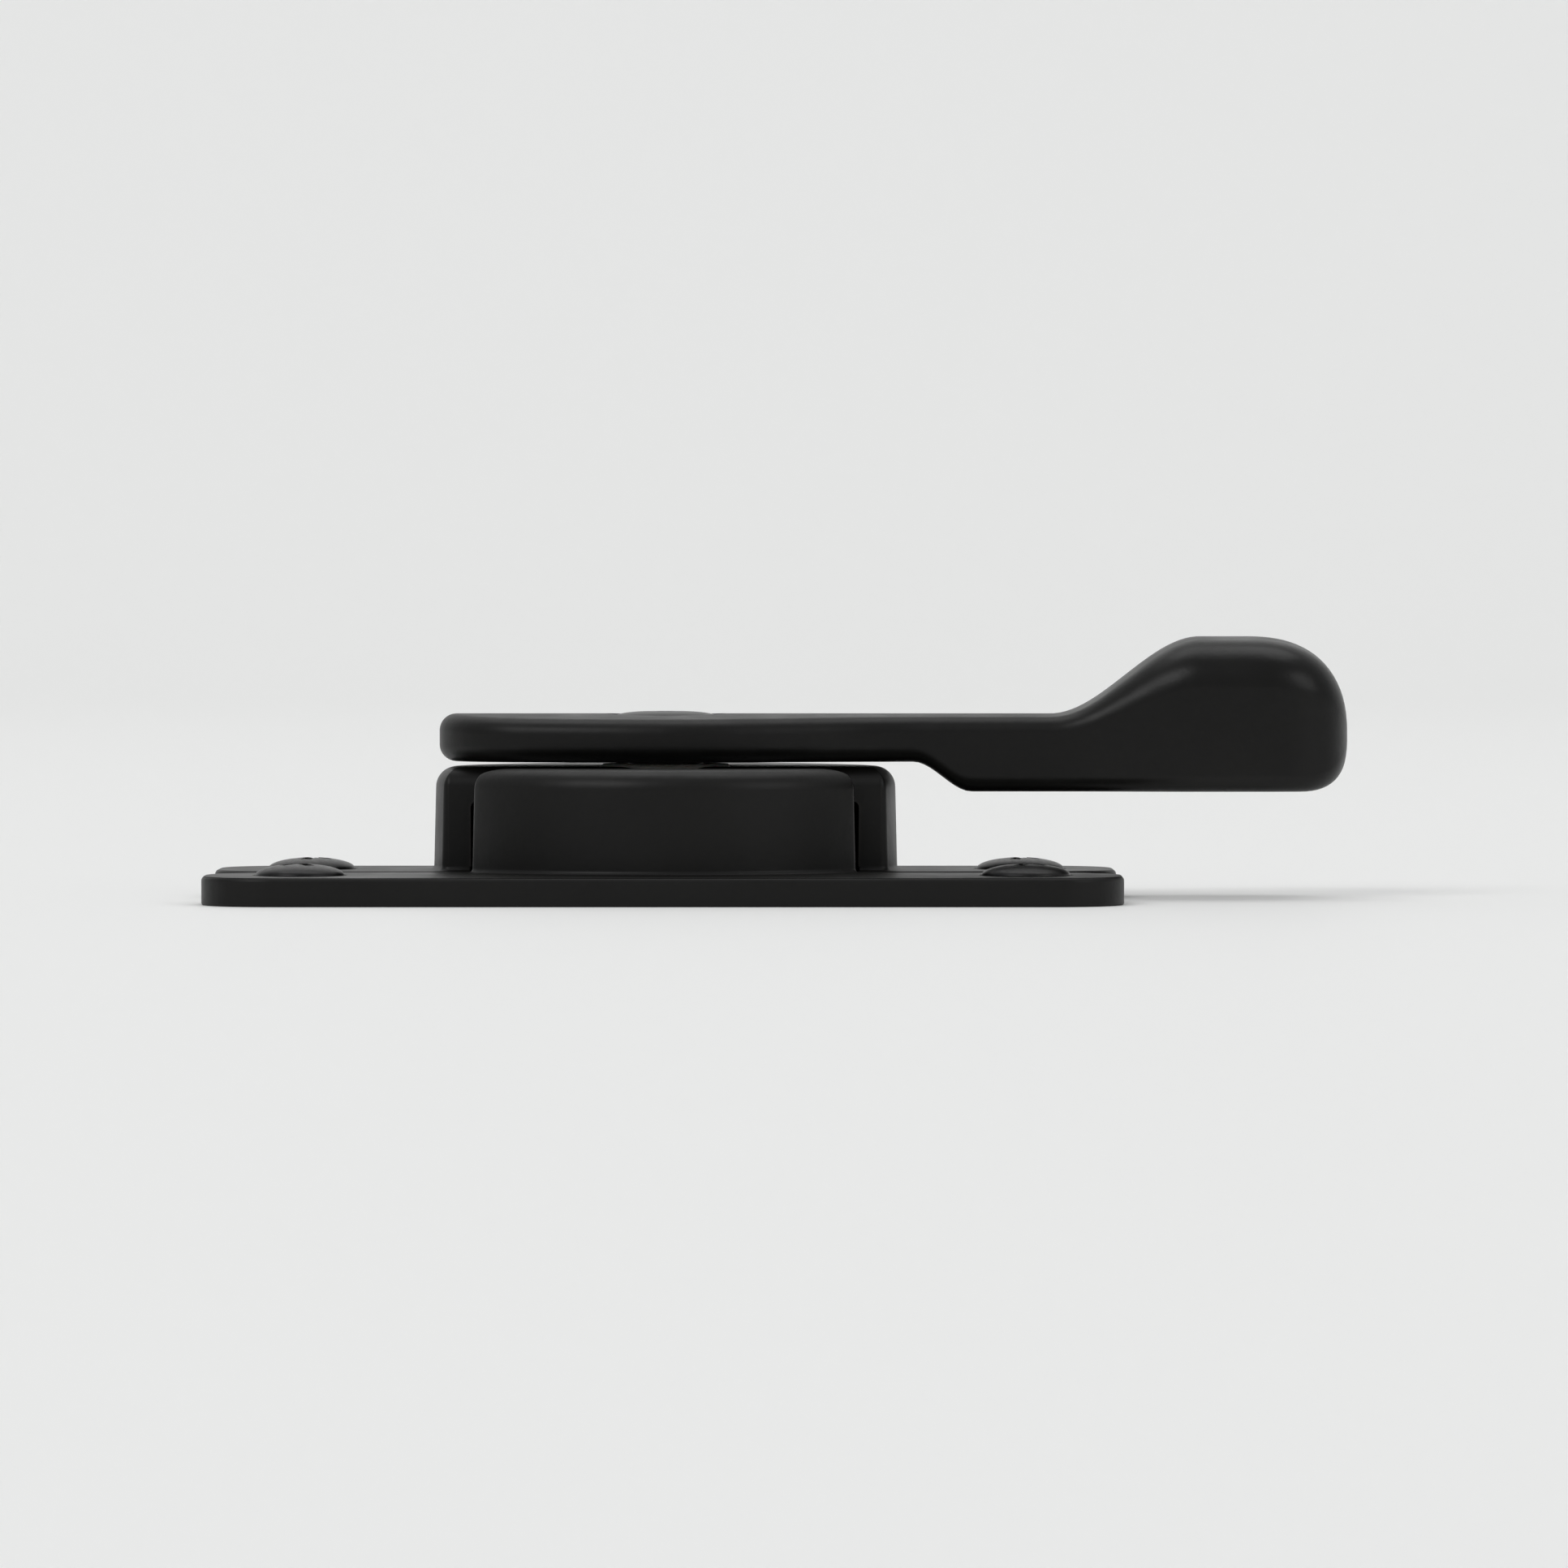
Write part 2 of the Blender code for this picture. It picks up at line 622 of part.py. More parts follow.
def make_cam(material):
    foot = CAM_BOTTOM - HUB_FOOT
    hub = turned([(HUB_RADIUS, foot), (HUB_RADIUS, CAM_TOP)], 48)
    cam = make_object("cam", hub, material)
    start = -math.pi / 2 - CAM_HALF_ANGLE
    plate = arc(CAM_RADIUS, start, start + 2 * CAM_HALF_ANGLE, 18)
    shoulder = HUB_RADIUS - 3 * RUN_GAP
    plate += arc(shoulder, math.radians(-12), math.radians(-168), 1)
    plate = prism(plate, CAM_BOTTOM, PLATE_TOP)
    combine(cam, make_object("cam_plate", plate), 'UNION')
    rim = cam_sector(
        RIM_INNER + RIM_TAPER, RIM_INNER, CAM_BOTTOM + CAM_PLATE / 2, CAM_TOP
    )
    combine(cam, make_object("cam_rim", rim), 'UNION')
    for side, turn in (("locked", 0), ("open", math.pi)):
        flat = prism(
            [
                (FLAT_DISTANCE, -HUB_RADIUS),
                (HUB_RADIUS + RUN_GAP, -HUB_RADIUS),
                (HUB_RADIUS + RUN_GAP, HUB_RADIUS),
                (FLAT_DISTANCE, HUB_RADIUS),
            ],
            PLATE_TOP + RUN_GAP,
            CAM_TOP + OVERSHOOT,
        )
        flat = make_object(f"hub_flat_{side}", flat)
        flat.rotation_euler.z = SPRING_ANGLE + turn
        combine(cam, flat, 'DIFFERENCE')
    tab = arc(
        HUB_RADIUS + STOP_TAB_REACH, -STOP_TAB_HALF_ANGLE, STOP_TAB_HALF_ANGLE, 6
    )
    tab += arc(shoulder, STOP_TAB_HALF_ANGLE, -STOP_TAB_HALF_ANGLE, 1)
    tab_top = CAM_TOP - SEAT_GAP
    tab = prism(tab, tab_top - STOP_TAB_HEIGHT + SEAT_GAP, tab_top)
    combine(cam, make_object("stop_tab", tab), 'UNION')
    recess = cylinder_helper(
        "washer_recess", WASHER_RADIUS + SEAT_GAP, foot - OVERSHOOT, STACK_TOP
    )
    combine(cam, recess, 'DIFFERENCE')
    half = LOWER_SQUARE / 2 + RUN_GAP
    hole = [(half, half), (-half, half), (-half, -half), (half, -half)]
    hole = prism(hole, foot - OVERSHOOT, CAM_TOP + OVERSHOOT)
    combine(cam, make_object("cam_square", hole), 'DIFFERENCE')
    return cam


def make_washers(material):
    bore = STUB_RADIUS + RUN_GAP
    outer = WASHER_RADIUS
    low = WASHER_TOP - WASHER_THICKNESS
    flat = [(bore, WASHER_TOP), (bore, low), (outer, low), (outer, WASHER_TOP)]
    thrust = make_object("thrust_washer", turned(flat, 32, closed=True), material)
    rings = []
    for radius, side in ((bore, 1), (bore, -1), (outer, -1), (outer, 1)):
        ring = circle_ring(radius, WAVE_MIDDLE + side * WAVE_SHEET / 2, 36)
        rings.append(
            [
                (x, y, z + WAVE_HEIGHT * math.cos(WAVE_COUNT * math.atan2(y, x)))
                for x, y, z in ring
            ]
        )
    wave = make_object("wave_washer", loft(rings, closed=True), material)
    return thrust, wave


def make_clip(material):
    """An open snap ring with three inner lugs that stand in the spindle's groove."""
    grip = GROOVE_RADIUS + RUN_GAP
    relief = (CLIP_RADIUS + grip) / 2
    steps, lug = 44, math.radians(16)
    first, last = CLIP_OPENING, 2 * math.pi - CLIP_OPENING
    outline = arc(CLIP_RADIUS, first, last, steps)
    for i in range(steps, -1, -1):
        turn = first + (last - first) * i / steps
        near = min(abs(turn - math.pi / 2 * k) for k in (1, 2, 3))
        radius = grip if near < lug else relief
        outline.append((radius * math.cos(turn), radius * math.sin(turn)))
    clip = prism(outline, CLIP_TOP - CLIP_THICKNESS, CLIP_TOP)
    return make_object("retaining_clip", clip, material)


def main():
    clear_scene()
    black = make_material("satin_black", (0.012, 0.012, 0.011), 0.42, 0.0)
    black_steel = make_material("black_oxide", (0.018, 0.018, 0.018), 0.35, 0.9)
    zinc = make_material("cast_zinc", (0.42, 0.43, 0.44), 0.38, 1.0)
    spring_steel = make_material("spring_steel", (0.30, 0.31, 0.34), 0.28, 1.0)
    nylon = make_material("natural_nylon", (0.70, 0.68, 0.62), 0.5, 0.0)

    make_housing(black)
    make_keeper(black)
    make_screws(black_steel)
    make_bush(nylon)
    make_spring(spring_steel)

    axis = bpy.data.objects.new("lever_axis", None)
    bpy.context.scene.collection.objects.link(axis)
    turning = [make_lever(black), make_spindle(black_steel), make_cam(zinc)]
    turning += make_washers(spring_steel)
    turning.append(make_clip(spring_steel))
    for piece in turning:
        piece.parent = axis


main()
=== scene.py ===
from math import asin, atan2, copysign, cos, hypot, pi, radians, sin, sqrt, tan

import bmesh
import bpy
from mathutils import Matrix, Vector


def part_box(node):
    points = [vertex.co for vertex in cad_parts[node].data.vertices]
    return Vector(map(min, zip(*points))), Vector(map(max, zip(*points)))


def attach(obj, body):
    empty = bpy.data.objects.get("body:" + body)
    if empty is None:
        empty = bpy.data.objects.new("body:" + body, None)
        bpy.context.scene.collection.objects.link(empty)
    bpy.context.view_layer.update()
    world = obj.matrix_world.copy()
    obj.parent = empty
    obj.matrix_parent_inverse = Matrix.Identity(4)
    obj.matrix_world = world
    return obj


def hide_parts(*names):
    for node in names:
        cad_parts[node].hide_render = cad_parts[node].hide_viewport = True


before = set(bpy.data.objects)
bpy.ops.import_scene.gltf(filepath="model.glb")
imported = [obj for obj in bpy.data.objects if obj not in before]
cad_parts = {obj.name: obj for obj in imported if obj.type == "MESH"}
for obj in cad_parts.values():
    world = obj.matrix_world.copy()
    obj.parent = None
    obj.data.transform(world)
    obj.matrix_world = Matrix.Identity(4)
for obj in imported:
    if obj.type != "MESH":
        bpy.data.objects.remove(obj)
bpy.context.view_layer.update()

mm = 0.001
quarterTurn = pi / 2
creaseAngle = radians(36)  # edges that turn more than this stay crisp
scene = bpy.context.scene
scene.view_settings.view_transform = "Standard"
print("frame loaded:", ", ".join(sorted(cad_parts)))

# sizes that lock and keeper share, round the pivot at the origin
lock = {
    "turretRadius": 18.0 * mm,
    "wall": 2.0 * mm,
    "ceiling": 2.6 * mm,
    "setback": 6.5 * mm,  # pivot to the lock's straight edge
    "flange": 2.2 * mm,
    "flangeEdge": 0.36 * mm,
    "flangeLip": 0.8 * mm,  # step from the flange edge in to the turret
    "underEdge": 0.12 * mm,  # broken edge along the seat
    "earCorner": 5.5 * mm,
    "foot": 0.38 * mm,  # cast fillet where the turret meets the flange
    "draft": 0.14 * mm,  # how far the turret leans in by its top
    "turretEdge": 1.6 * mm,
    "turretCorner": 0.7 * mm,  # where the round wall turns into the straight face
    "leastCorner": 0.05 * mm,  # what is left of it along the rolled edge
    "innerEdge": 0.2 * mm,
    "hollowRound": 0.5 * mm,  # cast fillet where wall and ceiling meet inside
    "overshoot": 2.0 * mm,  # how far cutters run past what they cut
    "earSteps": 14,  # steps round each curve
    "cornerSteps": 8,
    "edgeSteps": 6,
    "rollSteps": 10,
    "hollowSteps": 5,
    "holeSteps": 56,
}
cavityRadius = lock["turretRadius"] - lock["wall"]


# mesh helpers
def arcPoints(radius, start, end, steps, centre=(0.0, 0.0)):
    turns = [start + (end - start) * i / steps for i in range(steps + 1)]
    return [(centre[0] + radius * cos(a), centre[1] + radius * sin(a)) for a in turns]


def quarterArc(steps):
    turns = [quarterTurn * i / steps for i in range(steps + 1)]
    return [(sin(a), cos(a)) for a in turns]


def circlePoints(radius, count, centre=(0.0, 0.0)):
    return arcPoints(radius, 0, 2 * pi, count, centre)[:-1]


def circleRing(radius, z, count):
    return [(x, y, z) for x, y in circlePoints(radius, count)]


def squareCorners(half):
    return (half, half), (-half, half), (-half, -half), (half, -half)


def squareRing(width, corner, z, count):
    ring = []  # a square with softened corners, on the same count as the round rings
    for i in range(count):
        a = 2 * pi * i / count
        reach = width / 2 / max(abs(cos(a)), abs(sin(a)))
        reach = min(reach, width / 2 * sqrt(2) - corner)
        ring.append((reach * cos(a), reach * sin(a), z))
    return ring


def prism(outline, low, high):
    bm = bmesh.new()
    face = bm.faces.new([bm.verts.new((x, y, low)) for x, y in outline])
    raised = bmesh.ops.extrude_face_region(bm, geom=[face])["geom"]
    top = [part for part in raised if isinstance(part, bmesh.types.BMVert)]
    bmesh.ops.translate(bm, verts=top, vec=(0, 0, high - low))
    return bm


def loft(rings, closed=False):
    bm = bmesh.new()
    loops = [[bm.verts.new(point) for point in ring] for ring in rings]
    pairs = list(zip(loops, loops[1:]))
    if closed:
        pairs.append((loops[-1], loops[0]))
    else:
        bm.faces.new(loops[0])
        bm.faces.new(loops[-1])
    for first, second in pairs:
        for i in range(len(first)):
            j = (i + 1) % len(first)
            bm.faces.new((first[i], first[j], second[j], second[i]))
    return bm


def turned(profile, count, closed=False):
    return loft([circleRing(r, z, count) for r, z in profile], closed)


def roundedBox(halfX, yLow, yHigh, corner):
    x, low, high = halfX - corner, yLow + corner, yHigh - corner
    outline = []
    for i, centre in enumerate(((x, high), (-x, high), (-x, low), (x, low))):
        turn = i * quarterTurn
        outline += arcPoints(corner, turn, (i + 1) * quarterTurn, lock["earSteps"], centre)
    return outline


def makeObject(name, bm):
    bmesh.ops.recalc_face_normals(bm, faces=bm.faces)
    mesh = bpy.data.meshes.new(name)
    bm.to_mesh(mesh)
    bm.free()
    piece = bpy.data.objects.new(name, mesh)
    scene.collection.objects.link(piece)
    return piece


helpers = []  # cutters and joined bodies, cleared once their piece is baked


def shapeWith(piece, bm, operation):
    helper = makeObject(piece.name + "Helper", bm)
    helpers.append(helper)
    step = piece.modifiers.new(operation.lower(), "BOOLEAN")
    step.operation = operation
    step.object = helper
    step.solver = "EXACT"
    return helper


def join(piece, bm):
    return shapeWith(piece, bm, "UNION")


def carve(piece, bm):
    return shapeWith(piece, bm, "DIFFERENCE")


def softenEdges(piece, width, segments, leastTurn=radians(32)):
    bevel = piece.modifiers.new("soft edges", "BEVEL")
    bevel.width = width
    bevel.segments = segments
    bevel.limit_method = "ANGLE"
    bevel.angle_limit = leastTurn
    bevel.use_clamp_overlap = True


def bake(piece):
    graph = bpy.context.evaluated_depsgraph_get()
    mesh = bpy.data.meshes.new_from_object(piece.evaluated_get(graph))
    piece.modifiers.clear()
    piece.data = mesh
    mesh.name = piece.name
    while helpers:
        bpy.data.objects.remove(helpers.pop(), do_unlink=True)
    return piece


def place(piece, material, body, slot, *nodes):
    piece.data.shade_smooth()
    piece.data.set_sharp_from_angle(angle=creaseAngle)
    weighted = piece.modifiers.new("even shading", "WEIGHTED_NORMAL")
    weighted.weight = 100
    weighted.keep_sharp = True
    bake(piece)
    piece.data.materials.clear()
    piece.data.materials.append(material)
    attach(piece, body)
    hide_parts(*nodes)
    print("made", piece.name, len(piece.data.polygons), "faces")


# node helpers
def addNode(tree, kind, links=(), **values):
    node = tree.nodes.new(kind)
    for name, value in values.items():
        setattr(node, name, value)
    for socket, value in dict(links).items():
        for item in value if isinstance(value, list) else [value]:
            if isinstance(item, bpy.types.NodeSocket):
                tree.links.new(item, node.inputs[socket])
            else:
                node.inputs[socket].default_value = item
    return node.outputs


def addMath(tree, operation, first, second):
    return addNode(tree, "ShaderNodeMath", {0: first, 1: second}, operation=operation)[0]


def addTimes(tree, first, second):
    return addMath(tree, "MULTIPLY", first, second)


def newMaterial(name):
    material = bpy.data.materials.new(name)
    material.use_nodes = True
    tree = material.node_tree
    coords = tree.nodes.new("ShaderNodeTexCoord")
    return material, tree, tree.nodes["Principled BSDF"], coords.outputs["Object"]


def linkFinish(tree, shader, colour, rough, normal):
    for name, value in (("Base Color", colour), ("Roughness", rough), ("Normal", normal)):
        tree.links.new(value, shader.inputs[name])


def addNoise(tree, coords, scale, detail, roughness=0.55):
    values = {"Vector": coords, "Scale": scale, "Detail": detail, "Roughness": roughness}
    return addNode(tree, "ShaderNodeTexNoise", values)["Fac"]


def addRamp(tree, factor, stops, dark, light):
    ramp = tree.nodes.new("ShaderNodeValToRGB")
    for element, position, colour in zip(ramp.color_ramp.elements, stops, (dark, light)):
        element.position = position
        element.color = (*colour, 1.0)
    tree.links.new(factor, ramp.inputs["Fac"])
    return ramp.outputs["Color"]


def addRange(tree, factor, low, high, start=0.3, end=0.7, **settings):
    values = {"Value": factor, "From Min": start, "From Max": end, "To Min": low, "To Max": high}
    return addNode(tree, "ShaderNodeMapRange", values, **settings)["Result"]


def addBump(tree, height, strength, distance, before=None):
    values = {"Height": height, "Strength": strength, "Distance": distance}
    if before:
        values["Normal"] = before
    return addNode(tree, "ShaderNodeBump", values)["Normal"]


def addEdgeMask(tree, radius, start, end):
    # the bevelled normal turns away from the true one only near edges
    bevel = addNode(tree, "ShaderNodeBevel", {"Radius": radius}, samples=6)
    surface = addNode(tree, "ShaderNodeNewGeometry")
    normals = {0: bevel["Normal"], 1: surface["Normal"]}
    dot = addNode(tree, "ShaderNodeVectorMath", normals, operation="DOT_PRODUCT")
    return addRange(tree, dot["Value"], 0.0, 1.0, start, end)


# satin black powder coat: flowed orange peel, faint cloudiness, edges rubbed a little paler
powderCoat = {
    "deep": (0.0028, 0.0027, 0.0024),
    "pale": (0.0052, 0.0050, 0.0044),
    "stops": (0.35, 0.7),
    "rubbed": (0.022, 0.020, 0.017, 1.0),
    "wear": 0.75,
    "edgeRadius": 0.45 * mm,
    "edgeCosines": (0.985, 0.80),  # turn of the normal from untouched to fully rubbed
    "roughness": (0.36, 0.48),
    "specular": 0.24,
    "handled": 0.80,  # share of the roughness left where fingers polish it
    "handledSpan": (24.0 * mm, 44.0 * mm),  # along the lever
    "cloud": (70.0, 4.0),  # noises: scale per metre, detail, roughness
    "patches": (420.0, 5.0, 0.7),
    "haze": (160.0, 6.0, 0.65),
    "peel": (900.0, 2.0),  # about a millimetre from crest to crest
    "grain": (5200.0, 3.0, 0.6),
    "peelBump": (0.32, 0.07 * mm),  # strength and height
    "grainBump": (0.20, 0.02 * mm),
}


def makePowderCoat(name, handled=False):
    material, tree, shader, coords = newMaterial(name)

    def noise(kind):
        return addNoise(tree, coords, *powderCoat[kind])

    shades = powderCoat["deep"], powderCoat["pale"]
    base = addRamp(tree, noise("cloud"), powderCoat["stops"], *shades)
    edge = addEdgeMask(tree, powderCoat["edgeRadius"], *powderCoat["edgeCosines"])
    patches = addRange(tree, noise("patches"), 0.0, 1.0)
    worn = addTimes(tree, addTimes(tree, edge, patches), powderCoat["wear"])
    values = {0: worn, 6: base, 7: powderCoat["rubbed"]}
    colour = addNode(tree, "ShaderNodeMix", values, data_type="RGBA")[2]
    rough = addRange(tree, noise("haze"), *powderCoat["roughness"])
    if handled:
        along = addNode(tree, "ShaderNodeSeparateXYZ", {"Vector": coords})["X"]
        span = powderCoat["handledSpan"]
        rubbing = addRange(
            tree, along, 1.0, powderCoat["handled"], *span, interpolation_type="SMOOTHSTEP"
        )
        rough = addTimes(tree, rough, rubbing)
    normal = addBump(tree, noise("peel"), *powderCoat["peelBump"])
    normal = addBump(tree, noise("grain"), *powderCoat["grainBump"], normal)
    linkFinish(tree, shader, colour, rough, normal)
    shader.inputs["Specular IOR Level"].default_value = powderCoat["specular"]
    return material


# the other finishes: two shades of a cloud, with streaks or lathe lines for gloss and relief
metalCloud = {"stops": (0.3, 0.72), "cloud": (260.0, 5.0)}
finishes = {
    "blackOxide": {
        **metalCloud,
        "shades": ((0.016, 0.016, 0.017), (0.034, 0.033, 0.032)),
        "streak": (2400.0, 5.0, 0.7),
        "roughness": (0.28, 0.42),
        "bump": (0.15, 0.03 * mm),
        "metallic": 0.85,
    },
    "castZinc": {
        **metalCloud,
        "shades": ((0.36, 0.37, 0.38), (0.50, 0.51, 0.52)),
        "streak": (1800.0, 5.0, 0.7),
        "roughness": (0.36, 0.52),
        "bump": (0.3, 0.03 * mm),
        "metallic": 1.0,
    },
    "springSteel": {
        **metalCloud,
        "shades": ((0.20, 0.21, 0.24), (0.34, 0.34, 0.36)),
        "streak": (3000.0, 5.0, 0.7),
        "roughness": (0.22, 0.36),
        "bump": (0.1, 0.03 * mm),
        "metallic": 1.0,
    },
    "turnedBlack": {
        "stops": (0.3, 0.7),
        "cloud": (300.0, 4.0),
        "shades": ((0.012, 0.012, 0.012), (0.026, 0.025, 0.024)),
        "rings": (1500.0, 1.5),  # scale and waver of the lathe lines round the pivot
        "roughness": (0.30, 0.42),
        "bump": (0.25, 0.01 * mm),
        "metallic": 0.85,
    },
    "nylon": {
        "stops": (0.3, 0.7),
        "cloud": (350.0, 3.0),
        "shades": ((0.60, 0.58, 0.52), (0.70, 0.68, 0.62)),
        "roughness": (0.42, 0.55),
        "bump": (0.1, 0.02 * mm),
        "subsurface": (0.15, 0.5 * mm),
    },
}


def makeFinish(name):
    finish = finishes[name]
    material, tree, shader, coords = newMaterial(name)
    cloud = addNoise(tree, coords, *finish["cloud"])
    pattern = cloud
    if "streak" in finish:
        pattern = addNoise(tree, coords, *finish["streak"])
    if "rings" in finish:
        scale, waver = finish["rings"]
        values = {"Vector": coords, "Scale": scale, "Distortion": waver}
        rings = addNode(tree, "ShaderNodeTexWave", values, wave_type="RINGS", rings_direction="Z")
        pattern = rings["Fac"]
    if "metallic" in finish:
        shader.inputs["Metallic"].default_value = finish["metallic"]
    if "subsurface" in finish:
        weight, depth = finish["subsurface"]
        shader.inputs["Subsurface Weight"].default_value = weight
        shader.inputs["Subsurface Scale"].default_value = depth
    colour = addRamp(tree, cloud, finish["stops"], *finish["shades"])
    rough = addRange(tree, pattern, *finish["roughness"])
    linkFinish(tree, shader, colour, rough, addBump(tree, pattern, *finish["bump"]))
    return material


satinBlack = makePowderCoat("satinBlack")
handledBlack = makePowderCoat("handledBlack", handled=True)
blackOxide = makeFinish("blackOxide")
castZinc = makeFinish("castZinc")
springSteel = makeFinish("springSteel")
turnedBlack = makeFinish("turnedBlack")
nylon = makeFinish("nylon")
print("finishes ready")


# castings as stacked outlines: each step of a profile is how far in and how high
def turretOutline(radius, face, indoors, steps, corner=0.0):
    if not indoors:
        return [(x, -y) for x, y in turretOutline(radius, -face, True, steps, corner)]
    if not corner:
        dip = asin(face / radius)
        return arcPoints(radius, dip, pi - dip, steps)
    y = face + corner
    x = sqrt((radius - corner) ** 2 - y * y)
    meet = atan2(y, x)
    few = lock["cornerSteps"]
    return (
        arcPoints(corner, -quarterTurn, meet, few, (x, y))
        + arcPoints(radius, meet, pi - meet, steps)[1:-1]
        + arcPoints(corner, pi - meet, 3 * quarterTurn, few, (-x, y))
    )


def stackedBody(outlineAt, profile):
    return loft([[(x, y, z) for x, y in outlineAt(inset)] for inset, z in profile])


def upperRound(edge, top, steps, lean=0.0):
    return [(lean + edge * (1 - c), top - edge + edge * s) for s, c in quarterArc(steps)]


def roundedProfile(low, high, edge, steps=4):
    # rounded at both ends of its height
    profile = [(edge * (1 - s), low + edge * (1 - c)) for s, c in quarterArc(steps)]
    return profile + [(inset, low + high - z) for inset, z in reversed(profile)]


def flangeBody(outlineAt):
    under = lock["underEdge"]
    profile = [(under, 0.0), (0.0, under)]
    profile += upperRound(lock["flangeEdge"], lock["flange"], lock["edgeSteps"])
    return stackedBody(outlineAt, profile)


def turretBody(face, indoors, top, steps):
    # cast fillet at the foot, drafted wall, rolled upper edge
    foot, flange = lock["foot"], lock["flange"]
    profile = [(-foot, flange / 2)]
    profile += [(foot * (s - 1), flange + foot * (1 - c)) for s, c in quarterArc(lock["edgeSteps"])]
    profile += upperRound(lock["turretEdge"], top, lock["rollSteps"], lock["draft"])
    side = 1 if indoors else -1

    def outlineAt(inset):
        corner = max(lock["turretCorner"] - inset, lock["leastCorner"])
        radius = lock["turretRadius"] - inset
        return turretOutline(radius, face + side * inset, indoors, steps, corner)

    return stackedBody(outlineAt, profile)


def hollowBody(mouth, indoors, ceiling, steps):
    profile = [(0.0, -lock["overshoot"])]
    profile += upperRound(lock["hollowRound"], ceiling, lock["hollowSteps"])

    def outlineAt(inset):
        return turretOutline(cavityRadius - inset, mouth, indoors, steps)

    return stackedBody(outlineAt, profile)


def roundMouth(piece, ceiling):
    least = 0.01 * mm
    bm = bmesh.new()
    bm.from_mesh(piece.data)

    def inHollow(face):
        x, y, z = face.calc_center_median()
        return hypot(x, y) < cavityRadius + least and least < z < ceiling + least

    rim = []
    for edge in bm.edges:
        ends = max(vert.co.z for vert in edge.verts)
        if edge.is_convex and ends > least and sum(map(inHollow, edge.link_faces)) == 1:
            rim.append(edge)
    bmesh.ops.bevel(
        bm, geom=rim, offset=lock["innerEdge"], offset_type="OFFSET",
        segments=3, profile=0.5, affect="EDGES", clamp_overlap=False,
    )
    bm.to_mesh(piece.data)
    bm.free()


def screwHoles(piece, y):
    rim = headRadius + screws["gap"]
    shank = screws["threadRadius"] + screws["gap"]
    over = lock["overshoot"]
    profile = [
        (rim + over * headSlope, lock["flange"] + over),
        (shank, lock["flange"] - (rim - shank) / headSlope),
        (shank, -over),
    ]
    for side in (-1, 1):
        hole = carve(piece, turned(profile, lock["holeSteps"]))
        hole.location = (side * screwX, y, 0)


# countersunk wood screws, all four from one Geometry Nodes tree
screws = {
    "gap": 0.25 * mm,  # round the screw in its hole
    "coneAngle": radians(82),
    "rimBreak": (0.06 * mm, 0.16 * mm),  # in and down, under the head's rim
    "threadRadius": 1.75 * mm,
    "coreRadius": 1.22 * mm,
    "pitch": 1.35 * mm,
    "plainShank": 2.6 * mm,  # smooth length under the head
    "shankShare": 0.98,  # of the thread's radius
    "shankTaper": 0.4 * mm,
    "point": 4.0 * mm,
    "tipRadius": 0.15 * mm,
    "bareTip": 0.9 * mm,  # length below the first turn of thread
    "threadGap": 0.2 * mm,  # between the last turn and the plain shank
    "threadSink": 0.14 * mm,  # how deep the ridge's base lies in the core
    "threadLeast": 0.2,  # share of the ridge left at its two ends
    "threadPoints": 360,
    "recess": (1.8 * mm, 0.42 * mm, 1.75 * mm),  # depth, half width and reach
    "recessLevels": ((1.0, 0.5, 0.3), (0.6, 1.0, 0.62), (-0.3, 1.0, 1.1)),  # shares of those
    "domeSteps": 12,
    "sides": 72,
    "seed": 7,
}
screwLow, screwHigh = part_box("lock_screw_right")
screwX = (screwLow[0] + screwHigh[0]) / 2
lockScrewY = (screwLow[1] + screwHigh[1]) / 2
keeperLow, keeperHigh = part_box("keeper_screw_right")
keeperScrewY = (keeperLow[1] + keeperHigh[1]) / 2
headRadius = (screwHigh[0] - screwLow[0]) / 2
headSlope = tan(screws["coneAngle"] / 2)
screwNeck = lock["flange"] - (headRadius - screws["threadRadius"]) / headSlope


def screwBlank():
    flange, tip, steps = lock["flange"], screwLow[2], screws["domeSteps"]
    dome = screwHigh[2] - flange
    profile = []
    for i in range(1, steps + 1):
        a = quarterTurn * (1 - i / steps)
        profile.append((headRadius * cos(a), flange + dome * sin(a)))
    rimIn, rimDown = screws["rimBreak"]
    shank, core = screws["shankShare"] * screws["threadRadius"], screws["coreRadius"]
    shankEnd = screwNeck - screws["plainShank"]
    profile += [
        (headRadius - rimIn, flange - rimDown),
        (shank, screwNeck),
        (shank, shankEnd + screws["shankTaper"]),
        (core, shankEnd),
        (core, tip + screws["point"]),
        (screws["tipRadius"], tip),
    ]
    blank = makeObject("screwBlank", turned(profile, screws["sides"]))
    depth, half, reach = screws["recess"]
    rings = []
    for down, narrow, shorten in screws["recessLevels"]:
        h, r, z = half * narrow, reach * shorten, screwHigh[2] - depth * down
        ring = []
        for i in range(4):
            c, s = cos(quarterTurn * i), sin(quarterTurn * i)
            ring += [(x * c - y * s, x * s + y * c, z) for x, y in ((h, -h), (r, -h), (r, h))]
        rings.append(ring)
    carve(blank, loft(rings))
    return bake(blank)


def clampedRatio(tree, value, whole):
    ratio = addNode(
        tree, "ShaderNodeMath", {0: value, 1: whole}, operation="DIVIDE", use_clamp=True
    )
    return ratio[0]


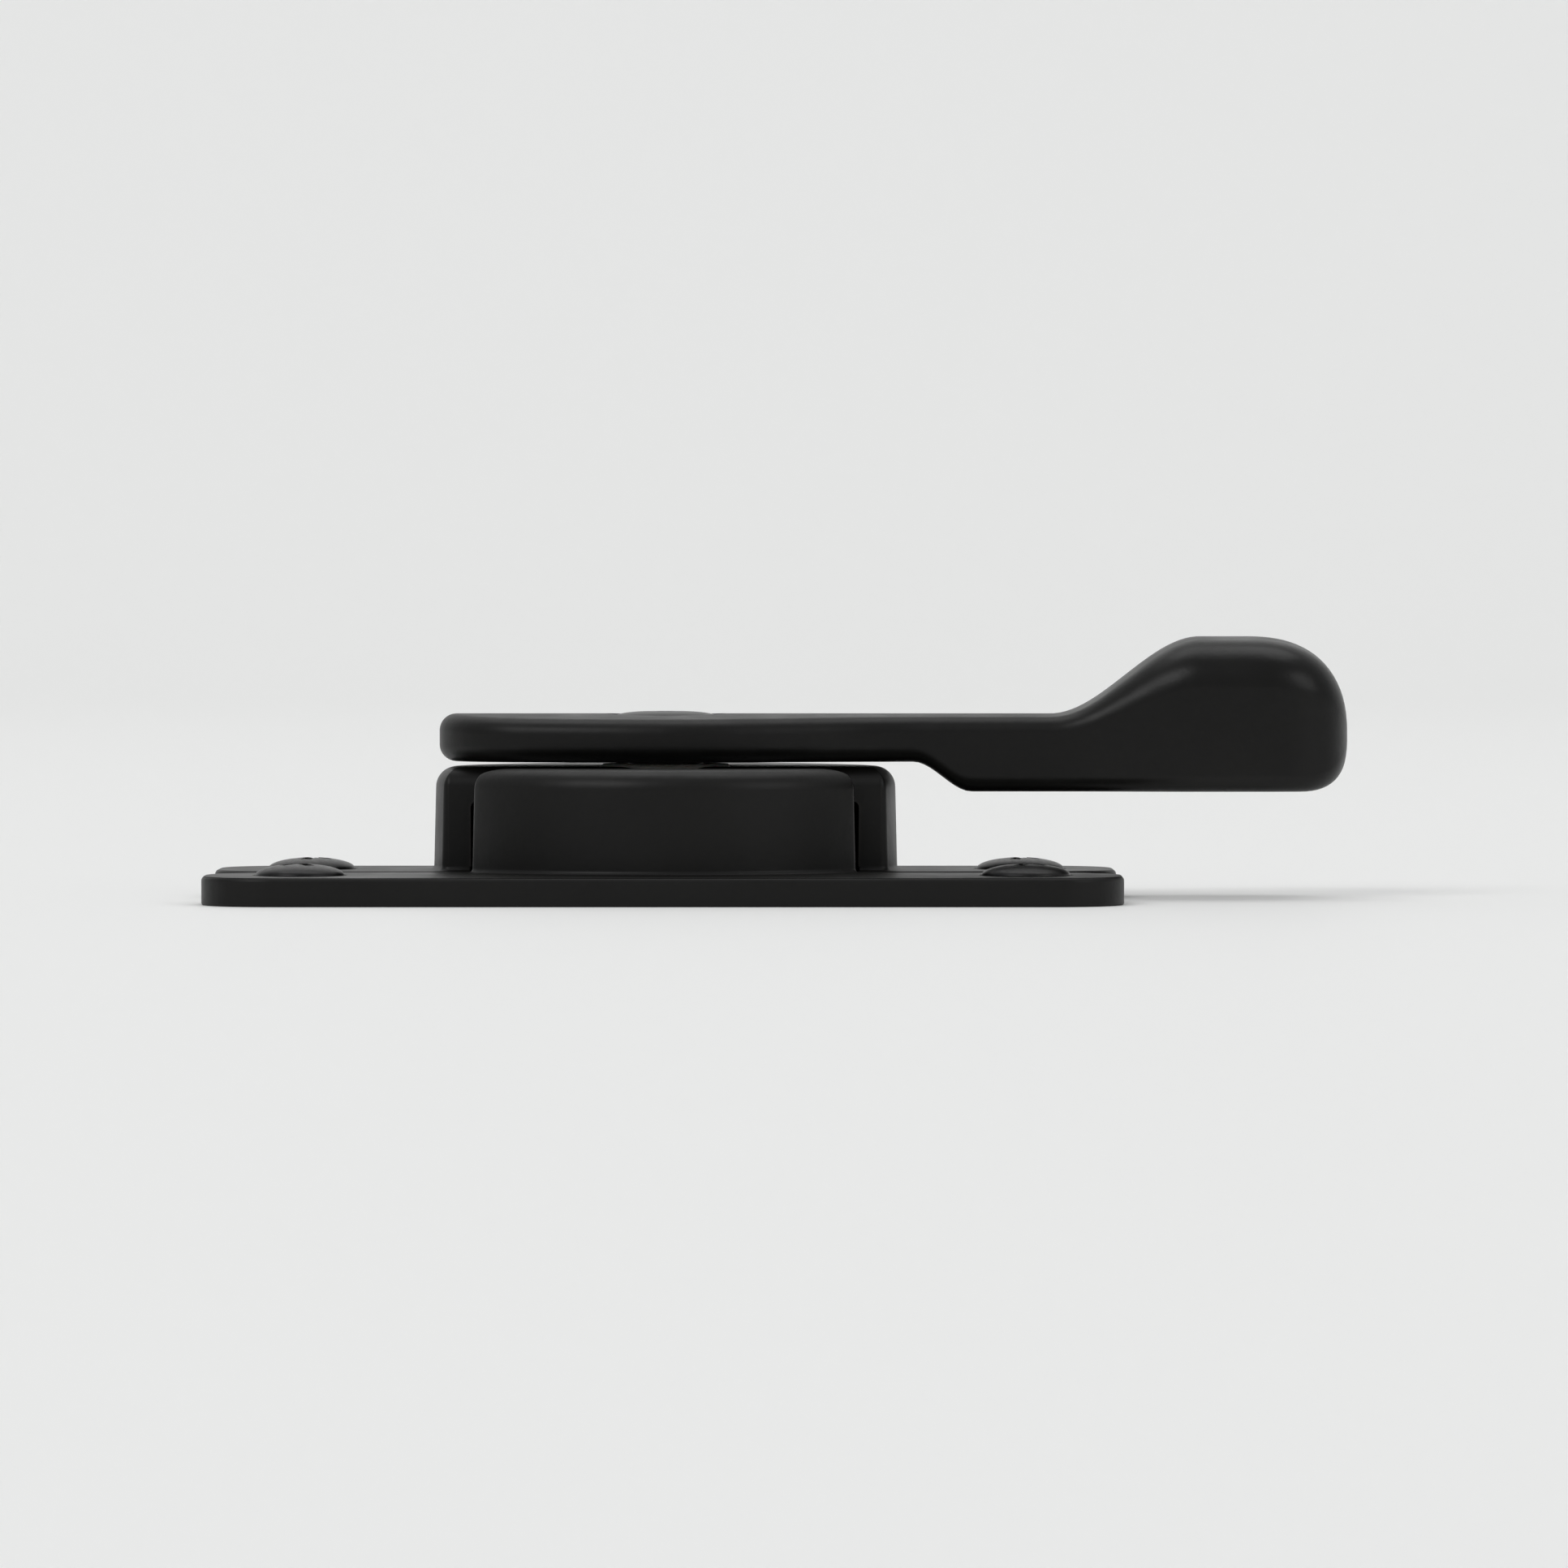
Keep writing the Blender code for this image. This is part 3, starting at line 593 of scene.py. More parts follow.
def makeScrewTree(sizes):
    tree = bpy.data.node_groups.new("woodScrewTree", "GeometryNodeTree")
    kinds = {"Geometry": "Geometry", "Blank": "Object", "Finish": "Material", "Seed": "Int"}
    for name in (*kinds, *sizes):
        kind = "NodeSocket" + kinds.get(name, "Float")
        tree.interface.new_socket(name, in_out="INPUT", socket_type=kind)
    tree.interface.new_socket("Geometry", in_out="OUTPUT", socket_type="NodeSocketGeometry")
    inputs = tree.nodes.new("NodeGroupInput").outputs
    low, top, pitch = inputs["Thread low"], inputs["Thread top"], inputs["Pitch"]

    # the thread's path: a straight line bent round the core, drawn in along the point
    line = addNode(tree, "GeometryNodeCurvePrimitiveLine", {
        "Start": addNode(tree, "ShaderNodeCombineXYZ", {"Z": low})[0],
        "End": addNode(tree, "ShaderNodeCombineXYZ", {"Z": top})[0],
    })
    points = addNode(
        tree, "GeometryNodeResampleCurve",
        {"Curve": line["Curve"], "Count": screws["threadPoints"]}, mode="COUNT",
    )
    position = addNode(tree, "GeometryNodeInputPosition")[0]
    z = addNode(tree, "ShaderNodeSeparateXYZ", {0: position})["Z"]
    rise = addMath(tree, "SUBTRACT", z, low)
    turn = addTimes(tree, addMath(tree, "DIVIDE", rise, pitch), 2 * pi)
    above = addMath(tree, "SUBTRACT", z, inputs["Point low"])
    along = clampedRatio(tree, above, inputs["Point length"])
    taper = addMath(tree, "SUBTRACT", inputs["Core radius"], inputs["Tip radius"])
    radius = addMath(tree, "ADD", addTimes(tree, taper, along), inputs["Tip radius"])
    runIn = clampedRatio(tree, rise, pitch)
    runOut = clampedRatio(tree, addMath(tree, "SUBTRACT", top, z), pitch)
    height = addMath(tree, "MAXIMUM", addTimes(tree, runIn, runOut), screws["threadLeast"])
    # a three-sided ridge has its base half its size behind its middle
    lift = addTimes(tree, addTimes(tree, height, inputs["Ridge size"]), 0.5)
    radius = addMath(tree, "SUBTRACT", addMath(tree, "ADD", radius, lift), inputs["Ridge sink"])
    helix = addNode(tree, "ShaderNodeCombineXYZ", {
        "X": addTimes(tree, radius, addMath(tree, "COSINE", turn, 0.0)),
        "Y": addTimes(tree, radius, addMath(tree, "SINE", turn, 0.0)),
        "Z": z,
    })
    path = addNode(tree, "GeometryNodeSetPosition", {"Geometry": points["Curve"], "Position": helix[0]})
    tapered = addNode(tree, "GeometryNodeSetCurveRadius", {"Curve": path["Geometry"], "Radius": height})
    upright = addNode(tree, "GeometryNodeSetCurveNormal", {"Curve": tapered["Curve"]}, mode="Z_UP")
    ridge = addNode(
        tree, "GeometryNodeCurvePrimitiveCircle",
        {"Resolution": 3, "Radius": inputs["Ridge size"]}, mode="RADIUS",
    )
    thread = addNode(tree, "GeometryNodeCurveToMesh", {
        "Curve": upright["Curve"], "Profile Curve": ridge["Curve"], "Fill Caps": True,
    })

    # thread and blank become one body, then a copy stands in each hole
    blank = addNode(tree, "GeometryNodeObjectInfo", {"Object": inputs["Blank"]})
    parts = {"Mesh 2": [blank["Geometry"], thread["Mesh"]]}
    screw = addNode(tree, "GeometryNodeMeshBoolean", parts, operation="UNION", solver="EXACT")
    spin = addNode(
        tree, "FunctionNodeRandomValue",
        {0: (0, 0, 0), 1: (0, 0, 2 * pi), "Seed": inputs["Seed"]}, data_type="FLOAT_VECTOR",
    )
    copies = addNode(tree, "GeometryNodeInstanceOnPoints", {
        "Points": inputs["Geometry"], "Instance": screw["Mesh"], "Rotation": spin[0],
    })
    real = addNode(tree, "GeometryNodeRealizeInstances", {"Geometry": copies["Instances"]})
    finish = addNode(tree, "GeometryNodeSetMaterial", {
        "Geometry": real["Geometry"], "Material": inputs["Finish"],
    })
    addNode(tree, "NodeGroupOutput", {"Geometry": finish["Geometry"]})
    return tree


def makeScrews():
    spots = bmesh.new()
    for y in (lockScrewY, keeperScrewY):
        for side in (-1, 1):
            spots.verts.new((side * screwX, y, 0))
    blank = screwBlank()
    piece = makeObject("woodScrews", spots)
    tip, sink = screwLow[2], screws["threadSink"]
    ridge = screws["threadRadius"] - screws["coreRadius"] + sink
    sizes = {
        "Core radius": screws["coreRadius"],
        "Tip radius": screws["tipRadius"],
        "Ridge size": ridge / 1.5,  # base to crest is one and a half times its size
        "Ridge sink": sink,
        "Pitch": screws["pitch"],
        "Thread low": tip + screws["bareTip"],
        "Thread top": screwNeck - screws["plainShank"] - screws["threadGap"],
        "Point low": tip,
        "Point length": screws["point"],
    }
    values = {"Blank": blank, "Finish": blackOxide, "Seed": screws["seed"], **sizes}
    tree = makeScrewTree(sizes)
    step = piece.modifiers.new("screws", "NODES")
    step.node_group = tree
    for item in tree.interface.items_tree:
        if item.in_out == "INPUT" and item.name in values:
            step[item.identifier] = values[item.name]
    bake(piece)
    bpy.data.objects.remove(blank, do_unlink=True)
    place(
        piece, blackOxide, "fixed", "black_steel",
        "lock_screw_left", "lock_screw_right", "keeper_screw_left", "keeper_screw_right",
    )


makeScrews()

# die-cast housing: two ears, a round turret open outdoors, spring posts and stop pins inside
housing = {
    "bushRadius": 4.35 * mm,
    "bushFlange": 5.2 * mm,
    "bushRecess": 0.8 * mm,
    "root": 0.8 * mm,  # how far posts and pins reach up into the ceiling
    "springTurn": radians(135),
    "slot": (4.85 * mm, 5.65 * mm),
    "postWall": 0.8 * mm,
    "postSpan": (7.2 * mm, 8.8 * mm),
    "postLow": 3.6 * mm,
    "slotTop": 5.6 * mm,
    "pinPlace": 7.0 * mm,
    "pinRadius": 1.1 * mm,
    "pinLow": 5.5 * mm,
    "pinTurn": radians(25.5),
    "ejectors": ((10.6 * mm, 6.4 * mm), (-10.6 * mm, 6.4 * mm), (0.0, 12.6 * mm)),
    "ejectorRadius": 1.5 * mm,
    "ejectorDepth": 0.12 * mm,
    "turretSteps": 96,
    "swellSteps": 72,  # round the flange behind the turret
    "pinSteps": 32,
    "ejectorSteps": 40,
}


def atSpring(out, along):
    c, s = cos(housing["springTurn"]), sin(housing["springTurn"])
    return out * c - along * s, out * s + along * c


def springBlock(out, along, low, high):
    corners = ((out[0], along[0]), (out[1], along[0]), (out[1], along[1]), (out[0], along[1]))
    return prism([atSpring(u, v) for u, v in corners], low, high)


def forkedPost(along, top):
    inside, outside = housing["slot"]
    wall, low, roof = housing["postWall"], housing["postLow"], housing["slotTop"]
    section = (
        (inside - wall, low), (inside, low), (inside, roof), (outside, roof),
        (outside, low), (outside + wall, low), (outside + wall, top), (inside - wall, top),
    )
    return loft([[(*atSpring(u, v), z) for u, z in section] for v in along])


def makeHousing():
    halfLength, _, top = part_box("lock_housing")[1]
    earBack = 2 * lockScrewY + lock["setback"]
    foot, steps = lock["turretRadius"] + lock["flangeLip"], housing["turretSteps"]

    def outlineAt(inset):
        back = earBack - inset
        ears = roundedBox(
            halfLength - inset, inset - lock["setback"], back, lock["earCorner"] - inset
        )
        meet = asin(back / (foot - inset))
        corner = len(ears) // 4
        swell = arcPoints(foot - inset, meet, pi - meet, housing["swellSteps"])
        return ears[:corner] + swell + ears[corner:]

    piece = makeObject("housingShell", flangeBody(outlineAt))
    join(piece, turretBody(lock["flangeLip"] - lock["setback"], True, top, steps))
    ceiling = top - lock["ceiling"]
    carve(piece, hollowBody(-lock["setback"] - lock["overshoot"], True, ceiling, steps))
    bake(piece)
    roundMouth(piece, ceiling)
    rootTop = ceiling + housing["root"]
    for side in (-1, 1):
        along = sorted(side * edge for edge in housing["postSpan"])
        join(piece, forkedPost(along, rootTop))
    for turn in (-housing["pinTurn"], pi + housing["pinTurn"]):
        spot = housing["pinPlace"] * cos(turn), housing["pinPlace"] * sin(turn)

        def pinOutline(inset):
            return circlePoints(housing["pinRadius"] - inset, housing["pinSteps"], spot)

        profile = roundedProfile(housing["pinLow"], rootTop, lock["innerEdge"])
        join(piece, stackedBody(pinOutline, profile))
    for spot in housing["ejectors"]:
        ring = circlePoints(housing["ejectorRadius"], housing["ejectorSteps"], spot)
        carve(piece, prism(ring, ceiling - lock["overshoot"], ceiling + housing["ejectorDepth"]))
    seat = top - housing["bushRecess"]
    bore = [
        (housing["bushFlange"], top + lock["overshoot"]),
        (housing["bushFlange"], seat),
        (housing["bushRadius"], seat),
        (housing["bushRadius"], ceiling - lock["overshoot"]),
    ]
    carve(piece, turned(bore, steps))
    screwHoles(piece, lockScrewY)
    bake(piece)
    place(piece, satinBlack, "fixed", "satin_black", "lock_housing")


makeHousing()

# keeper: ears, the other part of the turret, and the lip that the cam hooks behind
keeper = {
    "sashGap": 2.2 * mm,
    "lipRadius": 11.7 * mm,
    "lipBackset": 0.4 * mm,
    "lipLow": 3.6 * mm,
    "lipRoot": 0.8 * mm,  # how far the lip reaches up into the ceiling
    "turretSteps": 72,
    "lipSteps": 40,
}


def makeKeeper():
    low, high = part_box("keeper")
    edge, steps = lock["setback"] + keeper["sashGap"], keeper["turretSteps"]

    def outlineAt(inset):
        return roundedBox(
            high[0] - inset, low[1] + inset, high[1] - inset, lock["earCorner"] - inset
        )

    piece = makeObject("keeperShell", flangeBody(outlineAt))
    face = -edge - lock["flangeLip"]
    join(piece, turretBody(face, False, high[2], steps))
    ceiling = high[2] - lock["ceiling"]
    carve(piece, hollowBody(lock["overshoot"] - edge, False, ceiling, steps))
    bake(piece)
    roundMouth(piece, ceiling)

    def lipOutline(inset):
        back = face - keeper["lipBackset"] - inset
        return turretOutline(keeper["lipRadius"] - inset, back, False, keeper["lipSteps"])

    profile = roundedProfile(keeper["lipLow"], ceiling + keeper["lipRoot"], lock["innerEdge"])
    join(piece, stackedBody(lipOutline, profile))
    screwHoles(piece, keeperScrewY)
    bake(piece)
    place(piece, satinBlack, "fixed", "satin_black", "keeper")


makeKeeper()

# lever: flat hub and tail over the turret, dropped arm, raised thumb tip
lever = {
    "top": 14.3 * mm,
    "crown": 0.35 * mm,
    "edge": 1.3 * mm,
    "wall": 2.2 * mm,
    "hubHalf": 9.5 * mm,
    "tailHalf": 7.2 * mm,
    "armHalf": 5.2 * mm,
    "armDrop": 2.3 * mm,
    "armRamp": 4.5 * mm,
    "armClear": 1.2 * mm,
    "tipHalf": 6.6 * mm,
    "tipEdge": 3.8 * mm,
    "tipLength": 23.0 * mm,
    "tipRise": 6.0 * mm,
    "tipRound": 8.0 * mm,
    "tipNose": 4.0 * mm,
    "noseFullness": 2.5,  # 2 is a quarter circle, more is blunter
    "boreRadius": 4.5 * mm,
    "boreFloor": 13.2 * mm,
    "boreBreak": 0.27 * mm,  # broken edge at the bore's rim
    "socketHalf": 3.25 * mm,
    "socketCorner": 0.3 * mm,
    "socketOver": 0.3 * mm,  # how far the socket's cutter runs up into the bore
    "upperShare": 0.5,  # most of the height that an edge takes, above and below
    "lowerShare": 0.4,
    "sideShare": 0.9,  # and most of the half width
    "slopeStep": 0.01 * mm,
    "stations": 120,
    "endSteps": 22,
    "edgeSteps": 8,
    "faceSteps": 4,  # from an edge to the middle line
    "coreSteps": 24,
    "boreSteps": 96,
    "outlineSteps": (160, 80),  # round the tail's end, and along its side
}
leverLow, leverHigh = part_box("lever")
leverTail, leverReach = leverLow[0], leverHigh[0]
hubBottom = leverLow[2] + lever["armDrop"]
tipStart = leverReach - lever["tipLength"]
tipFull = tipStart + lever["tipLength"] / 2
armStart = lock["turretRadius"] + lever["armClear"]


def ease(x, start, end):
    t = min(max((x - start) / (end - start), 0.0), 1.0)
    return t * t * (3 - 2 * t)


def roundOff(x, start, end, fullness=2.0):
    t = min(max((x - start) / (end - start), 0.0), 1.0)
    return (1 - t**fullness) ** (1 / fullness)


def leverHalf(x):
    if x < 0:
        width = lever["hubHalf"]
        width += (lever["tailHalf"] - lever["hubHalf"]) * ease(-x, 0, -leverTail)
        return width * roundOff(-x, -leverTail - lever["tailHalf"], -leverTail)
    width = lever["hubHalf"] + (lever["armHalf"] - lever["hubHalf"]) * ease(x, 0, armStart)
    width += (lever["tipHalf"] - lever["armHalf"]) * ease(x, tipStart, tipFull)
    return width * roundOff(x, leverReach - lever["tipRound"], leverReach, lever["noseFullness"])


def leverHeight(x, height, noseLength):
    # both faces draw in to one level at the nose
    level = hubBottom - lever["armDrop"] + lever["tipNose"]
    keep = roundOff(x, leverReach - noseLength, leverReach, lever["noseFullness"])
    return level + (height - level) * keep


def leverTopAt(x):
    rise = lever["tipRise"] * ease(x, tipStart, tipFull)
    return leverHeight(x, lever["top"] + rise, lever["tipRound"])


def leverBottomAt(x):
    drop = lever["armDrop"] * ease(x, armStart, armStart + lever["armRamp"])
    return leverHeight(x, hubBottom - drop, lever["tipNose"])


def tailOutline():
    centre, end = leverTail + lever["tailHalf"], lock["overshoot"]
    around, beside = lever["outlineSteps"]
    places = [centre - lever["tailHalf"] * c for _, c in quarterArc(around)]
    places += [centre + (end - centre) * i / beside for i in range(1, beside + 1)]
    return [(x, leverHalf(x)) for x in places]


def distanceTo(outline, x, y, most):
    nearest = most
    for (startX, startY), (endX, endY) in zip(outline, outline[1:]):
        alongX, alongY = endX - startX, endY - startY
        t = ((x - startX) * alongX + (y - startY) * alongY) / (alongX**2 + alongY**2)
        t = min(max(t, 0.0), 1.0)
        nearest = min(nearest, hypot(x - startX - t * alongX, y - startY - t * alongY))
    return nearest


def tailSection(x, outline):
    # one rounding runs round the whole tail, measured from its outline
    half, edge, step = leverHalf(x), lever["edge"], lever["slopeStep"]
    slope = (leverHalf(x + step) - half) / step
    wide = min(edge * hypot(1, slope), lever["sideShare"] * half)
    flat = half * (1 - edge / lever["hubHalf"])
    crown = lever["crown"] * half / lever["hubHalf"]
    few = lever["faceSteps"]
    across = [half - wide * (1 - c) for _, c in quarterArc(lever["edgeSteps"])]
    across += [(half - wide) * (1 - i / few) for i in range(1, few + 1)]
    upper, lower = [], []
    for y in across:
        inside = distanceTo(outline, x, y, edge) if y < half else 0.0
        sink = edge - sqrt(edge**2 - (edge - inside) ** 2)
        upper.append((y, lever["top"] - crown * min(1.0, y / flat) ** 2 - sink))
        lower.append((y, hubBottom + sink))
    ring = upper + [(-y, z) for y, z in reversed(upper[:-1])]
    ring += [(-y, z) for y, z in lower] + list(reversed(lower[:-1]))
    return [(x, y, z) for y, z in ring]


def leverSection(x):
    low, high, half = leverBottomAt(x), leverTopAt(x), leverHalf(x)
    tall, steps = high - low, lever["edgeSteps"]
    upper = lever["edge"] + (lever["tipEdge"] - lever["edge"]) * ease(x, tipStart, tipFull)
    upper = min(upper, lever["upperShare"] * tall, half * lever["tipEdge"] / lever["tipHalf"])
    lower = min(lever["edge"], lever["lowerShare"] * tall, lever["sideShare"] * half)
    crown = lever["crown"] * half / lever["hubHalf"]
    across = [1 - i / lever["faceSteps"] for i in range(1, 2 * lever["faceSteps"])]
    y, z = half - upper, high - crown - upper
    outline = arcPoints(upper, 0, quarterTurn, steps, (y, z))
    outline += [(y * share, high - crown * share**2) for share in across]
    outline += arcPoints(upper, quarterTurn, 2 * quarterTurn, steps, (-y, z))
    y, z = half - lower, low + lower
    outline += arcPoints(lower, 2 * quarterTurn, 3 * quarterTurn, steps, (-y, z))
    outline += [(-y * share, low) for share in across]
    outline += arcPoints(lower, 3 * quarterTurn, 4 * quarterTurn, steps, (y, z))
    return [(x, v, height) for v, height in outline]


def makeLever():
    tailRound, noseRound = leverTail + lever["tailHalf"], leverReach - lever["tipRound"]
    steps, count = lever["endSteps"], lever["stations"]
    turns = [quarterTurn * (i + 0.5) / steps for i in range(steps)]
    places = [tailRound - lever["tailHalf"] * cos(a) for a in turns]
    places += [tailRound + (noseRound - tailRound) * i / count for i in range(count + 1)]
    places += [noseRound + lever["tipRound"] * cos(a) for a in reversed(turns)]
    outline = tailOutline()
    rings = [tailSection(x, outline) if x < 0 else leverSection(x) for x in places]
    piece = makeObject("leverHandle", loft(rings))

    # cored underside of the arm
    start, steps, over = armStart + 2 * lever["wall"], lever["coreSteps"], lock["overshoot"]
    core = []
    for i in range(steps + 1):
        x = start + (noseRound - start) * i / steps
        y = leverHalf(x) - lever["wall"]
        low, high = leverBottomAt(x) - over, leverTopAt(x) - lever["wall"]
        core.append([(x, y, low), (x, y, high), (x, -y, high), (x, -y, low)])
    carve(piece, loft(core))

    # bore for the spindle's head, then a square socket with blunt corners
    radius, top, steps = lever["boreRadius"], lever["top"], lever["boreSteps"]
    bore = [
        (radius + over + lever["boreBreak"], top + over),
        (radius, top - lever["boreBreak"]),
        (radius, lever["boreFloor"]),
    ]
    cutter = carve(piece, turned(bore, steps))
    cutter.rotation_euler.z = pi / steps  # keeps its corners off the middle line
    cut, socket = lever["socketCorner"], []
    for x, y in squareCorners(lever["socketHalf"]):
        corner = [(x, y - copysign(cut, y)), (x - copysign(cut, x), y)]
        socket += corner if x * y > 0 else corner[::-1]
    carve(piece, prism(socket, hubBottom - over, lever["boreFloor"] + lever["socketOver"]))
    bake(piece)
    place(piece, handledBlack, "lever", "satin_black", "lever")


makeLever()

# spindle: low domed head sunk in the lever, squares for lever and cam, clip groove
spindle = {
    "headRadius": 4.3 * mm,
    "headThickness": 0.9 * mm,
    "domeShare": 0.55,  # of the head's height
    "domeStart": 0.3,  # share of the head's radius
    "markShares": (0.10, 0.17),  # centre mark from the lathe, bottom and rim
    "markDepth": 0.22 * mm,
    "upperSquare": 6.2 * mm,
    "journal": 2.9 * mm,
    "lowerSquare": 4.0 * mm,
    "stub": 1.8 * mm,
    "groove": 1.3 * mm,
    "grooveSpan": (0.6 * mm, 1.35 * mm),
    "shoulder": 10.5 * mm,
    "camTop": 7.35 * mm,
    "squareEnd": 2.65 * mm,
    "chamfer": 0.18 * mm,
    "domeSteps": 10,
    "sides": 96,
}


def makeSpindle():
    low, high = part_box("spindle")
    top, radius, cut, count = high[2], spindle["headRadius"], spindle["chamfer"], spindle["sides"]
    headLow = lever["top"] - spindle["headThickness"]
    markFloor, markRim = spindle["markShares"]
    rings = [circleRing(markFloor * radius, top - spindle["markDepth"], count)]
    rings.append(circleRing(markRim * radius, top, count))
    start = spindle["domeStart"]
    for s, c in quarterArc(spindle["domeSteps"])[1:]:
        drop = (top - headLow) * spindle["domeShare"] * (1 - c)
        rings.append(circleRing(radius * (start + (1 - start) * s), top - drop, count))
    rings.append(circleRing(radius, headLow, count))
    shoulder, camTop, squareEnd = spindle["shoulder"], spindle["camTop"], spindle["squareEnd"]
    rings += [squareRing(spindle["upperSquare"], cut, z, count) for z in (headLow, shoulder)]
    rings += [circleRing(spindle["journal"], z, count) for z in (shoulder, camTop)]
    rings += [squareRing(spindle["lowerSquare"], cut, z, count) for z in (camTop, squareEnd)]
    grooveLow, grooveHigh = spindle["grooveSpan"]
    for r, z in (
        (spindle["stub"], squareEnd),
        (spindle["stub"], grooveHigh),
        (spindle["groove"], grooveHigh),
        (spindle["groove"], grooveLow),
        (spindle["stub"], grooveLow),
        (spindle["stub"], low[2] + cut),
        (spindle["stub"] - cut, low[2]),
    ):
        rings.append(circleRing(r, z, count))
    piece = makeObject("spindlePin", loft(rings))
    place(piece, turnedBlack, "lever", "black_steel", "spindle")


makeSpindle()

# inner works: zinc cam, nylon bush, spring steel leaf, washers and snap ring
inner = {
    "edge": 0.22 * mm,
    "thinEdge": 0.08 * mm,
    "camTurn": radians(37),  # half of the cam's sweep
    "camRadius": 15.6 * mm,
    "camRoot": 0.4 * mm,  # how far plate and tab reach into the hub
    "plate": (1.5 * mm, 3.2 * mm),
    "plateStep": 0.25 * mm,  # the plate lies this far inside the rim's ends
    "plateRoot": radians(78),  # half of the plate's sweep at the hub
    "rimInner": 12.0 * mm,
    "rimTaper": 1.2 * mm,  # how far the rim's spiral draws in
    "hubRadius": 5.6 * mm,
    "hubEdge": 0.15 * mm,
    "hubFlat": 4.9 * mm,  # pivot to the flats that the leaf rests on
    "flatLow": 3.35 * mm,
    "flatOver": 0.15 * mm,  # how far the flats' cutters run past the hub
    "tabReach": 7.7 * mm,
    "tabTurn": radians(14),
    "tabSpan": (5.7 * mm, 7.0 * mm),
    "washerRecess": (4.4 * mm, 2.8 * mm),
    "camSquare": 2.15 * mm,
    "camSteps": 48,
    "hubSteps": 116,
    "tabSteps": 12,
    "bushBore": 3.05 * mm,
    "bushRadius": 4.2 * mm,
    "bushSeat": 9.6 * mm,
    "bushEdge": 0.16 * mm,
    "boreSteps": 96,
    "leafOut": (5.05 * mm, 5.45 * mm),
    "leafHalf": 9.0 * mm,
    "leafBow": 0.1 * mm,  # the leaf leans this far towards the hub at its middle
    "leafCorner": 0.5 * mm,
    "leafSteps": 48,
    "washerBore": 1.95 * mm,
    "washerEdge": 0.06 * mm,
    "washerSteps": 120,
    "waves": 3,
    "waveHeight": 0.2 * mm,
    "clipGrip": 1.45 * mm,
    "clipRelief": 2.5 * mm,
    "clipOpening": radians(50),
    "clipLug": radians(16),
    "clipLugEase": (0.85, 1.25),  # shares of the lug's turn over which it falls away
    "clipSteps": 176,
}


def makeCam():
    low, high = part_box("cam")
    edge, steps, over = inner["edge"], inner["camSteps"], lock["overshoot"]
    outer, hub = inner["camRadius"], inner["hubRadius"]
    root = hub - inner["camRoot"]
    plateLow, plateTop = inner["plate"]

    def sweep(trim):
        turn = inner["camTurn"] - trim / inner["rimInner"]
        return [turn * (2 * i / steps - 1) - quarterTurn for i in range(steps + 1)]

    def hubOutline(inset):
        return circlePoints(hub - inset, inner["hubSteps"])

    def rimOutline(inset):
        turns = sweep(inset)
        outline = arcPoints(outer - inset, turns[0], turns[-1], steps)
        for i, a in reversed(list(enumerate(turns))):
            radius = inner["rimInner"] + inner["rimTaper"] * (1 - i / steps) + inset
            outline.append((radius * cos(a), radius * sin(a)))
        return outline

    def plateOutline(inset):
        turns = sweep(inset + inner["plateStep"])
        lean = inner["plateRoot"] - inset / root
        outline = arcPoints(outer - inset - inner["plateStep"], turns[0], turns[-1], steps)
        return outline + arcPoints(root, lean - quarterTurn, -lean - quarterTurn, 1)

    def tabOutline(inset):
        turn = inner["tabTurn"] - inset / inner["tabReach"]
        outline = arcPoints(inner["tabReach"] - inset, -turn, turn, inner["tabSteps"])
        return outline + arcPoints(root, turn, -turn, 1)

    profile = roundedProfile(low[2], high[2], inner["hubEdge"])
    piece = makeObject("hookCam", stackedBody(hubOutline, profile))
    reach = hub + inner["flatOver"]
    for side in (-1, 1):
        out = sorted((side * inner["hubFlat"], side * reach))
        carve(piece, springBlock(out, (-reach, reach), inner["flatLow"], high[2] + over))
    for outlineAt, span in (
        (plateOutline, (plateLow + inner["plateStep"] / 2, plateTop)),
        (rimOutline, (plateLow, high[2])),
        (tabOutline, inner["tabSpan"]),
    ):
        join(piece, stackedBody(outlineAt, roundedProfile(*span, edge)))
    radius, top = inner["washerRecess"]
    below = low[2] - over
    carve(piece, turned([(radius, below), (radius, top)], inner["boreSteps"]))
    carve(piece, prism(squareCorners(inner["camSquare"]), below, high[2] + over))
    bake(piece)
    place(piece, castZinc, "lever", "cast_zinc", "cam")


def makeBush():
    low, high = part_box("spindle_bush")
    bore, radius, flange = inner["bushBore"], inner["bushRadius"], high[0]
    bottom, top, seat, cut = low[2], high[2], inner["bushSeat"], inner["bushEdge"]
    profile = [
        (bore + cut, top), (bore, top - cut), (bore, bottom + cut), (bore + cut, bottom),
        (radius - cut, bottom), (radius, bottom + cut), (radius, seat),
        (flange - cut, seat), (flange, seat + cut), (flange, top - cut), (flange - cut, top),
    ]
    piece = makeObject("flangedBush", turned(profile, inner["boreSteps"], closed=True))
    place(piece, nylon, "fixed", "nylon", "spindle_bush")


